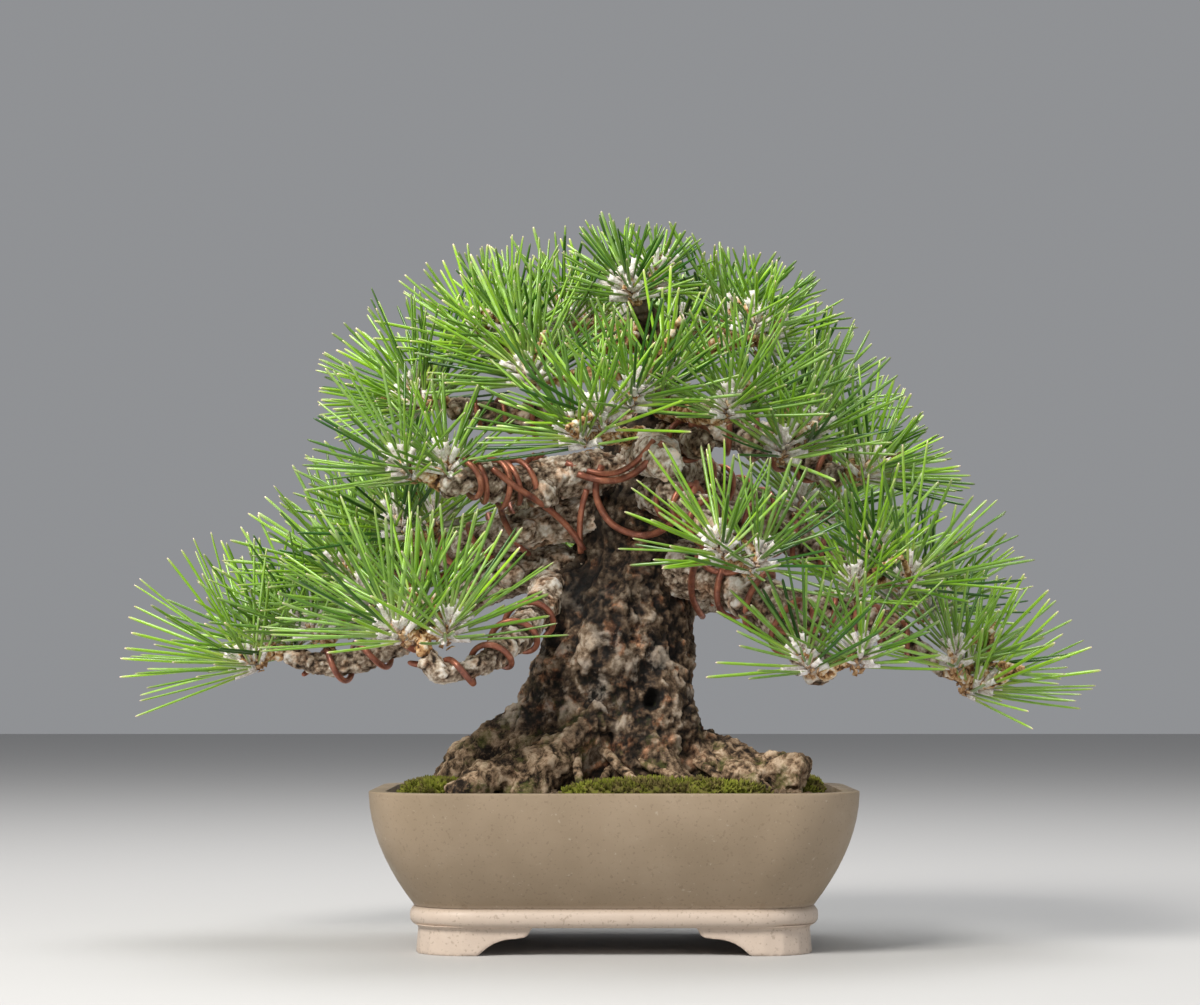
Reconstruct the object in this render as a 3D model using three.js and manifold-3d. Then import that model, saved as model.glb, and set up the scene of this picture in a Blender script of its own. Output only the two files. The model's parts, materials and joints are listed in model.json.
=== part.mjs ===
// A small pine bonsai in an unglazed rectangular pot: pot, drainage fittings, soil, moss, trunk with
// its surface roots, branches, copper training wires and needle shoots.
// Millimetres, +Z up. The pot stands on z = 0; the plant's own frame starts at the pot's rim.
import * as THREE from "three";
import { mergeVertices } from "three/addons/utils/BufferGeometryUtils.js";
import Module from "manifold-3d";

const wasm = await Module();
wasm.setup();

// ---------------------------------------------------------------- driving dimensions
const gap = 0.3; // clearance between pieces that touch
const potWidth = 160;
const potDepth = 118;
const potHeight = 52.5;
const potCorner = 27; // corner radius of the rim in plan
const potWall = 5.5;
const treeHeight = 169; // pot rim to the apex bud
const potFloor = 6;
const lipRound = 1.2;
const footHeight = 9;
const footThickness = 11;
const footReach = 37; // how far a foot runs along the long side
const footPad = 20; // length of its flat sole along the long side
const footReachSide = 31;
const footPadSide = 17;
const footInset = 1.6; // feet stand back from the band by this much
const bandHeight = 6.2;
const bandProud = 1.3; // the band stands out from the bowl's foot by this much
const bowlInset = 14.5; // the bowl's foot is narrower than its rim by this much on each side
const drainRadius = 8.5;
const drainOffset = 37;
const screenThickness = 1.4;
const screenMesh = 3; // openings along one side of a screen
const clipRadius = 0.7;
const clipLeg = 0.8 * drainRadius; // a clip's legs stand this far from the hole's axis
const screenPitch = (2 * (clipLeg + 1.2)) / (screenMesh - 1); // the legs pass the outer openings
const screenSize = screenMesh * screenPitch;
const anchorRadius = 0.75;
const soilDrop = 3.2; // soil edge below the rim
const soilMound = 4.5; // soil rises by this much towards the trunk
const trunkLift = 0.8; // the trunk's underside above the pot's floor
const footCrown = 0.5; // how far the trunk's underside bulges, as a share of its radius
const needleLength = 43;
const needleFan = 1.5; // radians from the aim, for a tuft's outermost needles
// The crown is kept clipped to a dome: x and height above the rim in the trunk's plane, from the
// left tip over the top to the right tip. Front to back it rounds off over crownDepth.
const crownOutline = [
  [-184, 42],
  [-160, 74],
  [-140, 98],
  [-126, 117],
  [-108, 134],
  [-80, 170],
  [-44, 189],
  [-6, 195],
  [29, 186],
  [68, 173],
  [88, 150],
  [111, 112],
  [148, 74],
  [161, 54],
  [174, 20],
];
const crownFoot = 15;
const crownDepth = 150;
const twigRadius = 1.7;
const budRadius = 2.3;
const wireGap = 0.35;

const bowlFoot = footHeight + bandHeight;
const floorTop = bowlFoot + potFloor;
const treeScale = treeHeight / 169;
const insideX = potWidth / 2 - potWall; // half of the pot's opening, along its length
const insideY = potDepth / 2 - potWall;

// ---------------------------------------------------------------- solids
function solidOf(geometry) {
  const plain = geometry.clone();
  plain.deleteAttribute("normal");
  plain.deleteAttribute("uv");
  const merged = mergeVertices(plain, 1e-4);
  return new wasm.Manifold(
    new wasm.Mesh({
      numProp: 3,
      vertProperties: merged.attributes.position.array,
      triVerts: new Uint32Array(merged.index.array),
    }),
  );
}

function geometryOf(solid) {
  const mesh = solid.getMesh();
  const geometry = new THREE.BufferGeometry();
  geometry.setAttribute("position", new THREE.BufferAttribute(mesh.vertProperties, 3));
  geometry.setIndex(new THREE.BufferAttribute(mesh.triVerts, 1));
  geometry.computeVertexNormals();
  return geometry;
}

// The biggest of the bodies that a cut leaves.
function largest(solid) {
  return solid.decompose().reduce((best, body) => (body.volume() > best.volume() ? body : best));
}

function cut(solid, cutters) {
  return largest(cutters.reduce((left, cutter) => left.subtract(cutter), solid));
}

// A closed skin over rings of equally many points, each end closed to a centre point.
function loft(rings, startCentre, endCentre) {
  const count = rings[0].length;
  const points = [...rings.flat(), startCentre, endCentre];
  const index = [];
  const start = points.length - 2;
  const end = points.length - 1;
  for (let r = 0; r + 1 < rings.length; r++) {
    for (let j = 0; j < count; j++) {
      const a = r * count + j;
      const b = r * count + ((j + 1) % count);
      index.push(a, b, b + count, a, b + count, a + count);
    }
  }
  const last = (rings.length - 1) * count;
  for (let j = 0; j < count; j++) {
    const next = (j + 1) % count;
    index.push(start, next, j, end, last + j, last + next);
  }
  const geometry = new THREE.BufferGeometry().setFromPoints(points);
  geometry.setIndex(index);
  return geometry;
}

// A repeatable source of numbers from 0 to 1.
function randomFrom(seed) {
  let state = seed * 2654435761;
  return () => {
    state = (state + 0x6d2b79f5) | 0;
    let mixed = Math.imul(state ^ (state >>> 15), 1 | state);
    mixed = (mixed + Math.imul(mixed ^ (mixed >>> 7), 61 | mixed)) ^ mixed;
    return ((mixed ^ (mixed >>> 14)) >>> 0) / 4294967296;
  };
}

// ---------------------------------------------------------------- pot
// A rounded rectangle at height z, counter-clockwise seen from above.
function roundedRing(halfWidth, halfDepth, corner, z, pointsPerCorner = 5) {
  const ring = [];
  for (let quarter = 0; quarter < 4; quarter++) {
    const sideX = quarter === 0 || quarter === 3 ? 1 : -1;
    const sideY = quarter < 2 ? 1 : -1;
    for (let i = 0; i < pointsPerCorner; i++) {
      const angle = ((quarter + i / (pointsPerCorner - 1)) * Math.PI) / 2;
      const x = sideX * (halfWidth - corner) + corner * Math.cos(angle);
      const y = sideY * (halfDepth - corner) + corner * Math.sin(angle);
      ring.push(new THREE.Vector3(x, y, z));
    }
  }
  return ring;
}

// The pot's plan drawn in by an inset, with the corner radius shrinking as the walls come in.
function potRing(inset, z) {
  const corner = Math.max(3, potCorner - 0.7 * inset);
  return roundedRing(potWidth / 2 - inset, potDepth / 2 - inset, corner, z);
}

// How far the bowl's outside has come in at height z: a parabola from the rim down.
function bowlInsetAt(z) {
  const drop = (potHeight - z) / (potHeight - bowlFoot);
  return bowlInset * Math.pow(Math.min(Math.max(drop, 0), 1), 1.9);
}

function lofted(rings) {
  const middle = (ring) => new THREE.Vector3(0, 0, ring[0].z);
  return solidOf(loft(rings, middle(rings[0]), middle(rings[rings.length - 1])));
}

function bowl() {
  const rings = [];
  const wallSteps = 4;
  for (let i = 0; i <= wallSteps; i++) {
    const z = bowlFoot + ((potHeight - lipRound - bowlFoot) * i) / wallSteps;
    rings.push(potRing(bowlInsetAt(z), z));
  }
  rings.push(potRing(lipRound * 0.7, potHeight));
  rings.push(potRing(potWall - lipRound * 0.7, potHeight));
  for (let i = wallSteps; i >= 0; i--) {
    const z = floorTop + ((potHeight - lipRound - floorTop) * i) / wallSteps;
    rings.push(potRing(bowlInsetAt(z) + potWall, z));
  }
  return lofted(rings);
}

function band() {
  const proud = [-0.2, 1, 1.15, 1, -0.4];
  const rings = proud.map((share, i) =>
    potRing(bowlInset - bandProud * share, footHeight + (bandHeight * i) / (proud.length - 1)),
  );
  return lofted(rings);
}

// The outline of the open space between two feet, seen from one side: a cloud-foot arch.
function archShape(halfSpan, reach, pad) {
  const shape = new THREE.Shape();
  const inner = halfSpan - reach;
  const sole = halfSpan - pad;
  const top = footHeight + gap;
  shape.moveTo(-sole, -1);
  shape.lineTo(-sole, 0);
  shape.bezierCurveTo(-sole + 5, 5, -inner - 9, 5.2, -inner - 3, 5.6);
  shape.quadraticCurveTo(-inner, 6, -inner, top);
  shape.lineTo(inner, top);
  shape.quadraticCurveTo(inner, 6, inner + 3, 5.6);
  shape.bezierCurveTo(inner + 9, 5.2, sole - 5, 5, sole, 0);
  shape.lineTo(sole, -1);
  return shape;
}

function extruded(shape, depth, curveSegments = 5) {
  return new THREE.ExtrudeGeometry(shape, { depth, bevelEnabled: false, curveSegments });
}

function feet() {
  const inset = bowlInset + footInset;
  const outside = lofted([potRing(inset - 0.8, 0), potRing(inset, footHeight + gap)]);
  const inside = lofted([potRing(inset + footThickness, -1), potRing(inset + footThickness, 99)]);
  const span = potWidth + potDepth;
  const front = extruded(archShape(potWidth / 2 - inset, footReach, footPad), span);
  front.rotateX(Math.PI / 2).translate(0, span / 2, 0);
  const side = extruded(archShape(potDepth / 2 - inset, footReachSide, footPadSide), span);
  side.rotateX(Math.PI / 2).rotateZ(Math.PI / 2).translate(-span / 2, 0, 0);
  return outside.subtract(inside).subtract(solidOf(front)).subtract(solidOf(side));
}

function drainHole(x) {
  const geometry = new THREE.CylinderGeometry(drainRadius, drainRadius, 4 * floorTop, 16);
  return solidOf(geometry.rotateX(Math.PI / 2).translate(x, 0, 0));
}

function pot() {
  const whole = wasm.Manifold.union([bowl(), band(), feet()]);
  return whole.subtract(drainHole(-drainOffset)).subtract(drainHole(drainOffset));
}

// ---------------------------------------------------------------- limbs
// A tapered limb along a smooth curve. Each station is [x, y, z, radius].
class Limb {
  constructor(stations, { sides = 7, steps = 2 * stations.length, lump = 0.06, crown = 0.5 } = {}) {
    this.stations = stations;
    this.sides = sides;
    this.steps = steps;
    this.lump = lump;
    this.crown = crown;
    const points = stations.map(([x, y, z]) => new THREE.Vector3(x, y, z));
    this.curve = new THREE.CatmullRomCurve3(points, false, "centripetal");
    this.frames = this.curve.computeFrenetFrames(steps, false);
  }

  radiusAt(u) {
    const at = this.curve.getUtoTmapping(u) * (this.stations.length - 1);
    const low = Math.min(Math.floor(at), this.stations.length - 2);
    const share = at - low;
    return this.stations[low][3] * (1 - share) + this.stations[low + 1][3] * share;
  }

  // Uneven bark: a slow ripple round and along the limb.
  rippleAt(u, angle) {
    const seed = this.stations[0][0] + this.stations[0][2];
    const ripple = Math.sin(2 * angle + 11 * u + seed) + Math.sin(3 * angle - 17 * u + 2 * seed);
    return 1 + (this.lump * ripple) / 2;
  }

  ringAt(step, grow) {
    const u = step / this.steps;
    const centre = this.curve.getPointAt(u);
    const ring = [];
    for (let j = 0; j < this.sides; j++) {
      const angle = (2 * Math.PI * j) / this.sides;
      const radius = this.radiusAt(u) * this.rippleAt(u, angle) + grow;
      const point = centre.clone();
      point.addScaledVector(this.frames.normals[step], radius * Math.cos(angle));
      point.addScaledVector(this.frames.binormals[step], radius * Math.sin(angle));
      ring.push(point);
    }
    return ring;
  }

  // The limb as a solid, every surface moved out by grow.
  solid(grow = 0) {
    const rings = [];
    for (let step = 0; step <= this.steps; step++) rings.push(this.ringAt(step, grow));
    const capAt = (u, step, side) =>
      this.curve
        .getPointAt(u)
        .addScaledVector(this.frames.tangents[step], side * (this.crown * this.radiusAt(u) + grow));
    return solidOf(loft(rings, capAt(0, 0, -1), capAt(1, this.steps, 1)));
  }

  // A point off the axis: u along the limb, turned by angle, out by distance from the bark.
  besideAt(u, angle, distance, slack = 1) {
    const step = u * this.steps;
    const low = Math.min(Math.floor(step), this.steps - 1);
    const share = step - low;
    const normal = this.frames.normals[low].clone().lerp(this.frames.normals[low + 1], share).normalize();
    const tangent = this.curve.getTangentAt(u);
    const across = tangent.clone().cross(normal).normalize();
    const radius = (this.radiusAt(u) * (1 + this.lump) + distance) * slack;
    return this.curve
      .getPointAt(u)
      .addScaledVector(normal, radius * Math.cos(angle))
      .addScaledVector(across, radius * Math.sin(angle));
  }

  // The limb as short thick lines, for clearance tests.
  capsules(owner, count = this.steps) {
    const found = [];
    for (let i = 0; i < count; i++) {
      const a = this.curve.getPointAt(i / count);
      const b = this.curve.getPointAt((i + 1) / count);
      const ra = this.radiusAt(i / count) * (1 + this.lump);
      const rb = this.radiusAt((i + 1) / count) * (1 + this.lump);
      found.push({ a, b, ra, rb, owner });
    }
    return found;
  }
}

// ---------------------------------------------------------------- the wood
// The plant's frame: z = 0 is the pot's rim. Stations are [x, y, z, radius], for a tree of usual size.
const trunkStations = [
  [3, 2, -17, 27],
  [3, 2, -6, 30],
  [4, 1, 8, 28],
  [5, 0, 26, 24],
  [3, 0, 48, 24.5],
  [5, 0, 64, 21.5],
  [7, 0, 80, 18.5],
  [7, 1, 96, 18.5],
  [9, 3, 113, 13.5],
  [12, 4, 128, 9],
  [14, 1, 144, 6],
  [12, -3, 157, 4],
  [9, -7, 165, 2.6],
];

// Surface roots: x and y are shares of the pot's opening, so that the roots stay inside the pot.
const rootStations = [
  [[-0.11, 0.04, 24, 17], [-0.38, 0.04, 13, 16], [-0.6, 0, 4, 13.5], [-0.76, -0.04, -6, 9]],
  [[-0.13, -0.22, 18, 11], [-0.32, -0.47, 8, 9.5], [-0.43, -0.63, -5, 7.5]],
  [[-0.12, -0.12, 17, 15], [-0.36, -0.24, 7, 13], [-0.54, -0.32, -6, 9]],
  [[0.19, -0.07, 15, 10], [0.51, -0.15, 9, 8.5], [0.7, -0.22, 3, 7.6], [0.79, -0.28, 0, 7.2]],
  [[0.08, 0.26, 15, 12], [0.19, 0.6, 2, 9], [0.27, 0.78, -9, 6]],
  [[-0.16, 0.22, 14, 11], [-0.43, 0.5, 0, 8], [-0.56, 0.65, -10, 5]],
  [[0.16, -0.26, 9, 8], [0.34, -0.54, -2, 5.5], [0.42, -0.69, -10, 3.5]],
  [[0.3, 0.15, 11, 9], [0.56, 0.37, -1, 7], [0.71, 0.52, -10, 4]],
];
const knobStations = [[-2, -5, 67, 6], [-16, -8, 70, 5]]; // the healed stump of an old branch

const branchStations = {
  branch_low_left: [
    [-2, 4, 67, 9],
    [-22, 3, 74, 8.5],
    [-39, 6, 71, 8],
    [-54, 15, 63, 6.5],
    [-74, 25, 50, 5.2],
    [-96, 25, 41, 4.2],
    [-113, 25, 45, 3.2],
  ],
  branch_low_left_front: [
    [-20, 0, 68, 6],
    [-26, -22, 58, 5.8],
    [-33, -42, 49, 5.2],
    [-43, -56, 41, 3.6],
    [-54, -61, 38, 3.6],
    [-60, -62, 43, 4.2],
  ],
  branch_mid_left: [
    [0, 0, 92, 8],
    [-20, -6, 89, 7],
    [-35, -4, 86, 6.5],
    [-49, 2, 81, 5.6],
    [-64, 12, 76, 4.5],
    [-81, 22, 68, 3.4],
  ],
  branch_mid_left_front: [
    [0, -4, 106, 7],
    [-23, -13, 103, 6.5],
    [-38, -22, 101, 6.2],
    [-47, -30, 103, 5.6],
    [-56, -32, 99, 4],
  ],
  branch_high_left: [
    [8, 4, 121, 6],
    [-18, 9, 124, 5],
    [-39, 9, 127, 4.2],
    [-56, 5, 129, 3.2],
  ],
  branch_low_right: [
    [14, -2, 77, 9],
    [37, -15, 69, 8.6],
    [50, -24, 61, 8],
    [60, -32, 50, 6.6],
    [67, -44, 38, 5.6],
  ],
  branch_low_right_outer: [
    [48, -20, 62, 5.4],
    [68, -8, 60, 5],
    [83, -3, 58, 4.4],
    [98, -6, 50, 3.5],
    [111, -12, 39, 3],
  ],
  branch_front_right: [
    [12, -6, 97, 6.5],
    [21, -28, 97, 5.8],
    [29, -46, 88, 5],
    [37, -58, 77, 4],
  ],
  branch_mid_right: [
    [10, 4, 121, 8],
    [34, 2, 122, 7],
    [50, 4, 118, 6],
    [63, 0, 111, 5],
    [76, -10, 104, 4],
  ],
  branch_mid_right_lower: [
    [12, 6, 90, 7],
    [36, 16, 92, 6.5],
    [53, 21, 88, 5.8],
    [74, 12, 78, 4.8],
    [87, -8, 70, 3.4],
  ],
  branch_back_right: [
    [10, 8, 106, 7],
    [26, 36, 110, 6],
    [46, 56, 102, 5],
    [68, 66, 92, 3.4],
  ],
  branch_back_left: [
    [4, 8, 99, 7],
    [-20, 38, 99, 6],
    [-42, 56, 90, 4.6],
    [-64, 64, 80, 3.2],
  ],
  branch_back: [
    [6, 8, 80, 7.5],
    [10, 42, 82, 6],
    [6, 66, 77, 4.6],
    [-4, 82, 70, 3.2],
  ],
  branch_back_low_right: [
    [12, 6, 66, 7.5],
    [44, 32, 67, 6],
    [70, 40, 60, 4.8],
    [98, 34, 58, 3.2],
  ],
  stub_front: [
    [10, -4, 113, 7],
    [14, -26, 110, 6.2],
    [17, -41, 106, 5.6],
  ],
};

const toTree = (values) => values.map((value) => value * treeScale);
const toPot = ([x, y, z, radius]) => [x * insideX, y * insideY, z * treeScale, radius * treeScale];

// The trunk's foot stands just clear of the pot's floor.
const trunkLine = trunkStations.map(toTree);
trunkLine[0][2] = floorTop + trunkLift - potHeight + footCrown * trunkLine[0][3];
const trunk = new Limb(trunkLine, { sides: 12, steps: 18, lump: 0.1, crown: footCrown });
const roots = [...rootStations.map((root) => root.map(toPot)), knobStations.map(toTree)].map(
  (stations) => new Limb(stations, { sides: 8, steps: 4, lump: 0.12 }),
);
const branches = Object.entries(branchStations).map(([name, stations]) => {
  const crown = name.startsWith("stub") ? 0.1 : 0.4;
  return { name, limb: new Limb(stations.map(toTree), { sides: 7, crown }) };
});
const branchNamed = (name) => branches.find((branch) => branch.name === name).limb;

function trunkSolid(grow = 0) {
  return wasm.Manifold.union([trunk, ...roots].map((limb) => limb.solid(grow)));
}

// ---------------------------------------------------------------- copper wires
// Each wire winds round one limb after another: u from and to, turns, and the angle it starts at.
const wireRoutes = {
  wire_low_left: {
    radius: 1.0,
    runs: [{ limb: "branch_low_left", from: 0.46, to: 0.94, turns: 4.5, angle: 1 }],
  },
  wire_low_left_front: {
    radius: 0.95,
    runs: [{ limb: "branch_low_left_front", from: 0.3, to: 0.93, turns: 3.7, angle: 2 }],
    tail: [-9, -1, 1],
  },
  wire_mid_left: {
    radius: 0.9,
    runs: [{ limb: "branch_mid_left", from: 0.34, to: 0.92, turns: 4.5, angle: 0 }],
  },
  wire_mid_left_front: {
    radius: 0.9,
    runs: [{ limb: "branch_mid_left_front", from: 0.38, to: 0.92, turns: 3.2, angle: 3 }],
  },
  wire_low_right: {
    radius: 1.0,
    runs: [{ limb: "branch_low_right", from: 0.28, to: 0.86, turns: 3.6, angle: 0.5 }],
    tail: [-8, -1, 3],
  },
  wire_mid_right: {
    radius: 0.9,
    runs: [{ limb: "branch_mid_right", from: 0.32, to: 0.93, turns: 4.5, angle: 2 }],
  },
};
const wireStepsPerTurn = 8;
const wireSlack = 1 / Math.cos(Math.PI / wireStepsPerTurn); // keeps the wire's flats off the bark

function wirePoints({ radius, runs, tail }) {
  const points = [];
  for (const { limb, from, to, turns, angle } of runs) {
    const steps = Math.ceil(turns * wireStepsPerTurn);
    for (let i = 0; i <= steps; i++) {
      const share = i / steps;
      const turn = angle + 2 * Math.PI * turns * share;
      const u = from + (to - from) * share;
      points.push(branchNamed(limb).besideAt(u, turn, radius + wireGap, wireSlack));
    }
  }
  if (tail) {
    const end = points[points.length - 1].clone().add(new THREE.Vector3(...tail));
    points.push(end);
  }
  return points;
}

const wires = Object.entries(wireRoutes).map(([name, route]) => {
  const stations = wirePoints(route).map((p) => [p.x, p.y, p.z, route.radius]);
  const limb = new Limb(stations, { sides: 4, steps: stations.length - 1, lump: 0 });
  return { name, limb };
});

// ---------------------------------------------------------------- shoots
// A shoot leaves its host at from, forks at fork, and bears a tuft of needles at each tip.
// A tuft is [x, y, z of the bud's tip, aim x, y, z, length share].
const shootPlans = {
  shoot_low_left_tip: {
    from: [-112, 25, 45],
    fork: [-117, 25, 46],
    tufts: [
      [-128, 21, 43, -0.96, -0.1, 0.02, 1.22],
      [-121, 29, 50, -0.6, 0.15, 0.75, 1],
      [-114, 36, 50, -0.3, 0.7, 0.55, 0.95],
    ],
  },
  shoot_low_left_mid: {
    from: [-97, 25, 41],
    fork: [-99, 28, 49],
    tufts: [
      [-105, 21, 56, -0.65, -0.2, 0.75, 1.05],
      [-95, 38, 57, -0.25, 0.6, 0.75, 1],
    ],
  },
  shoot_low_left_upper: {
    from: [-75, 25, 50],
    fork: [-77, 25, 60],
    tufts: [
      [-86, 16, 66, -0.55, -0.3, 0.75, 1.05],
      [-77, 36, 67, -0.2, 0.6, 0.8, 1],
      [-68, 20, 68, 0.15, -0.1, 1, 0.9],
    ],
  },
  shoot_front_left: {
    from: [-60, -62, 44],
    fork: [-61, -62, 50],
    tufts: [
      [-71, -64, 53, -0.7, -0.25, 0.65, 1.12],
      [-52, -62, 54, 0.35, -0.25, 0.9, 1.1],
      [-64, -56, 57, -0.3, 0.15, 0.95, 1.05],
    ],
  },
  shoot_mid_left_tip: {
    from: [-80, 22, 68],
    fork: [-85, 23, 71],
    tufts: [
      [-93, 18, 75, -0.75, -0.15, 0.6, 1.05],
      [-88, 31, 78, -0.45, 0.5, 0.75, 1],
    ],
  },
  shoot_mid_left_side: {
    from: [-63, 11, 76],
    fork: [-66, 5, 84],
    tufts: [
      [-73, -1, 90, -0.6, -0.25, 0.75, 1],
      [-61, 12, 92, 0, 0.3, 0.95, 0.9],
    ],
  },
  shoot_mid_left_front: {
    from: [-56, -32, 99],
    fork: [-60, -33, 102],
    tufts: [
      [-70, -32, 107, -0.8, -0.15, 0.55, 1.05],
      [-55, -34, 108, 0.2, -0.25, 0.95, 0.75],
    ],
  },
  shoot_high_left: {
    from: [-55, 5, 129],
    fork: [-60, 5, 131],
    tufts: [
      [-68, 2, 135, -0.75, -0.15, 0.65, 1.05],
      [-62, 15, 136, -0.35, 0.55, 0.75, 1],
      [-69, -5, 129, -0.9, -0.35, 0.15, 0.9],
    ],
  },
  shoot_top_left: {
    from: [13, -1, 143],
    fork: [-19, -12, 137],
    tufts: [
      [-30, -21, 139, -0.6, -0.3, 0.75, 1.1],
      [-25, -7, 143, -0.35, 0.1, 0.95, 1.05],
    ],
  },
  shoot_top_left_back: {
    from: [12, 0, 151],
    fork: [-32, 8, 148],
    tufts: [
      [-46, 2, 152, -0.8, -0.1, 0.55, 1],
      [-39, 18, 154, -0.45, 0.5, 0.75, 0.95],
      [-35, -2, 156, -0.4, -0.2, 0.9, 0.9],
    ],
  },
  shoot_front_centre_left: {
    from: [9, -8, 118],
    fork: [-4, -38, 115],
    tufts: [
      [-13, -50, 116, -0.75, -0.4, 0.45, 1.05],
      [-5, -50, 122, -0.3, -0.55, 0.75, 0.95],
    ],
  },
  shoot_front_centre: {
    from: [13, 0, 133],
    fork: [9, -38, 126],
    tufts: [
      [7, -51, 128, -0.05, -0.8, 0.55, 0.95],
      [17, -43, 134, 0.25, -0.4, 0.85, 0.9],
    ],
  },
  shoot_apex: {
    from: [9, -7, 163],
    fork: [8, -9, 169],
    tufts: [
      [5, -20, 168, -0.2, -0.5, 0.8, 0.72],
      [15, -6, 174, 0.35, -0.1, 0.9, 0.62],
      [2, 2, 174, -0.35, 0.3, 0.9, 0.62],
    ],
  },
  shoot_apex_back_left: {
    from: [12, 0, 154],
    fork: [-4, 22, 159],
    tufts: [
      [-9, 30, 164, -0.2, 0.45, 0.85, 0.8],
      [6, 34, 162, 0.15, 0.75, 0.65, 0.85],
      [-19, 20, 162, -0.55, 0.15, 0.85, 0.85],
    ],
  },
  shoot_apex_back_right: {
    from: [12, 0, 148],
    fork: [25, 22, 156],
    tufts: [
      [24, 31, 161, 0.15, 0.65, 0.75, 0.85],
      [35, 21, 162, 0.5, 0.2, 0.85, 0.85],
    ],
  },
  shoot_top_right: {
    from: [13, 0, 144],
    fork: [41, -9, 150],
    tufts: [
      [48, -17, 157, 0.2, -0.3, 0.93, 0.8],
      [53, -5, 153, 0.7, 0.1, 0.7, 0.95],
      [40, -4, 160, 0.05, 0.1, 1, 0.75],
    ],
  },
  shoot_front_centre_right: {
    from: [13, 0, 128],
    fork: [33, -36, 122],
    tufts: [
      [38, -47, 126, 0.3, -0.6, 0.7, 1],
      [45, -35, 128, 0.7, -0.25, 0.65, 1.05],
    ],
  },
  shoot_shoulder_right: {
    from: [50, 4, 118],
    fork: [60, 9, 127],
    tufts: [
      [69, 4, 132, 0.75, -0.05, 0.65, 1.05],
      [62, 20, 132, 0.35, 0.6, 0.7, 1],
    ],
  },
  shoot_mid_right_front: {
    from: [62, 1, 111],
    fork: [61, -22, 113],
    tufts: [
      [56, -34, 114, 0, -0.55, 0.8, 0.85],
      [66, -29, 118, 0.5, -0.3, 0.8, 0.95],
    ],
  },
  shoot_mid_right_tip: {
    from: [75, -9, 104],
    fork: [80, -12, 105],
    tufts: [
      [86, -20, 107, 0.75, -0.4, 0.5, 1],
      [91, -8, 106, 0.95, 0.1, 0.25, 1],
      [82, -2, 111, 0.55, 0.45, 0.7, 1],
    ],
  },
  shoot_front_right: {
    from: [37, -58, 77],
    fork: [39, -61, 75],
    tufts: [
      [33, -66, 79, -0.45, -0.45, 0.75, 0.85],
      [46, -66, 75, 0.45, -0.45, 0.75, 0.9],
    ],
  },
  shoot_low_right_front: {
    from: [67, -44, 38],
    fork: [68, -51, 39],
    tufts: [
      [60, -60, 44, -0.5, -0.35, 0.75, 0.9],
      [79, -56, 46, 0.4, -0.4, 0.8, 0.85],
    ],
  },
  shoot_mid_right_lower: {
    from: [87, -8, 70],
    fork: [88, -22, 69],
    tufts: [
      [97, -34, 70, 0.8, -0.25, 0.5, 0.95],
      [86, -30, 80, 0.05, -0.2, 1, 0.75],
      [78, -42, 68, -0.2, -0.6, 0.7, 0.8],
    ],
  },
  shoot_low_right_tip: {
    from: [110, -12, 39],
    fork: [114, -14, 38],
    tufts: [
      [113, -19, 46, 0.15, -0.35, 0.95, 0.9],
      [123, -15, 34, 0.97, -0.1, 0.05, 1],
      [122, -7, 42, 0.75, 0.2, 0.6, 0.95],
    ],
  },
  shoot_back_low_right: {
    from: [97, 34, 58],
    fork: [102, 33, 59],
    tufts: [
      [112, 27, 62, 0.8, -0.1, 0.55, 1],
      [104, 40, 68, 0.3, 0.45, 0.85, 1],
      [98, 26, 67, 0.2, -0.35, 0.9, 0.9],
    ],
  },
  shoot_back_right: {
    from: [67, 66, 92],
    fork: [72, 66, 93],
    tufts: [
      [82, 62, 97, 0.8, 0, 0.55, 1],
      [74, 74, 99, 0.3, 0.7, 0.65, 1],
      [67, 60, 102, 0, -0.1, 1, 0.95],
    ],
  },
  shoot_back_left: {
    from: [-63, 64, 80],
    fork: [-68, 64, 81],
    tufts: [
      [-78, 60, 85, -0.8, 0, 0.55, 1],
      [-69, 73, 87, -0.25, 0.7, 0.65, 1],
      [-62, 59, 90, 0.05, -0.1, 1, 0.95],
    ],
  },
  shoot_back: {
    from: [-3, 81, 70],
    fork: [-5, 85, 71],
    tufts: [
      [-13, 92, 76, -0.55, 0.5, 0.65, 1],
      [4, 92, 77, 0.4, 0.6, 0.7, 1],
      [-4, 82, 80, 0, 0, 1, 1],
    ],
  },
};

const toPoint = ([x, y, z]) => new THREE.Vector3(x, y, z).multiplyScalar(treeScale);
const aimOf = (tuft) => new THREE.Vector3(tuft[3], tuft[4], tuft[5]).normalize();

// The stem up to the fork and a twig to each bud, as limbs that meet in the fork.
function twigsOf(plan) {
  const from = toPoint(plan.from);
  const fork = toPoint(plan.fork);
  const forkRadius = twigRadius * 1.25;
  const fromRadius = Math.min(forkRadius + from.distanceTo(fork) * 0.035, 2 * twigRadius);
  const stemStations = [
    [...from, fromRadius],
    [...fork, forkRadius],
  ];
  const stem = new Limb(stemStations, { sides: 5, steps: 1, lump: 0.1 });
  const twigs = plan.tufts.map((tuft) => {
    const budFoot = toPoint(tuft).addScaledVector(aimOf(tuft), -budRadius);
    const stations = [
      [...fork, twigRadius * 1.15],
      [...budFoot, twigRadius],
    ];
    return new Limb(stations, { sides: 4, steps: 1, lump: 0 });
  });
  return [stem, ...twigs];
}

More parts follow.
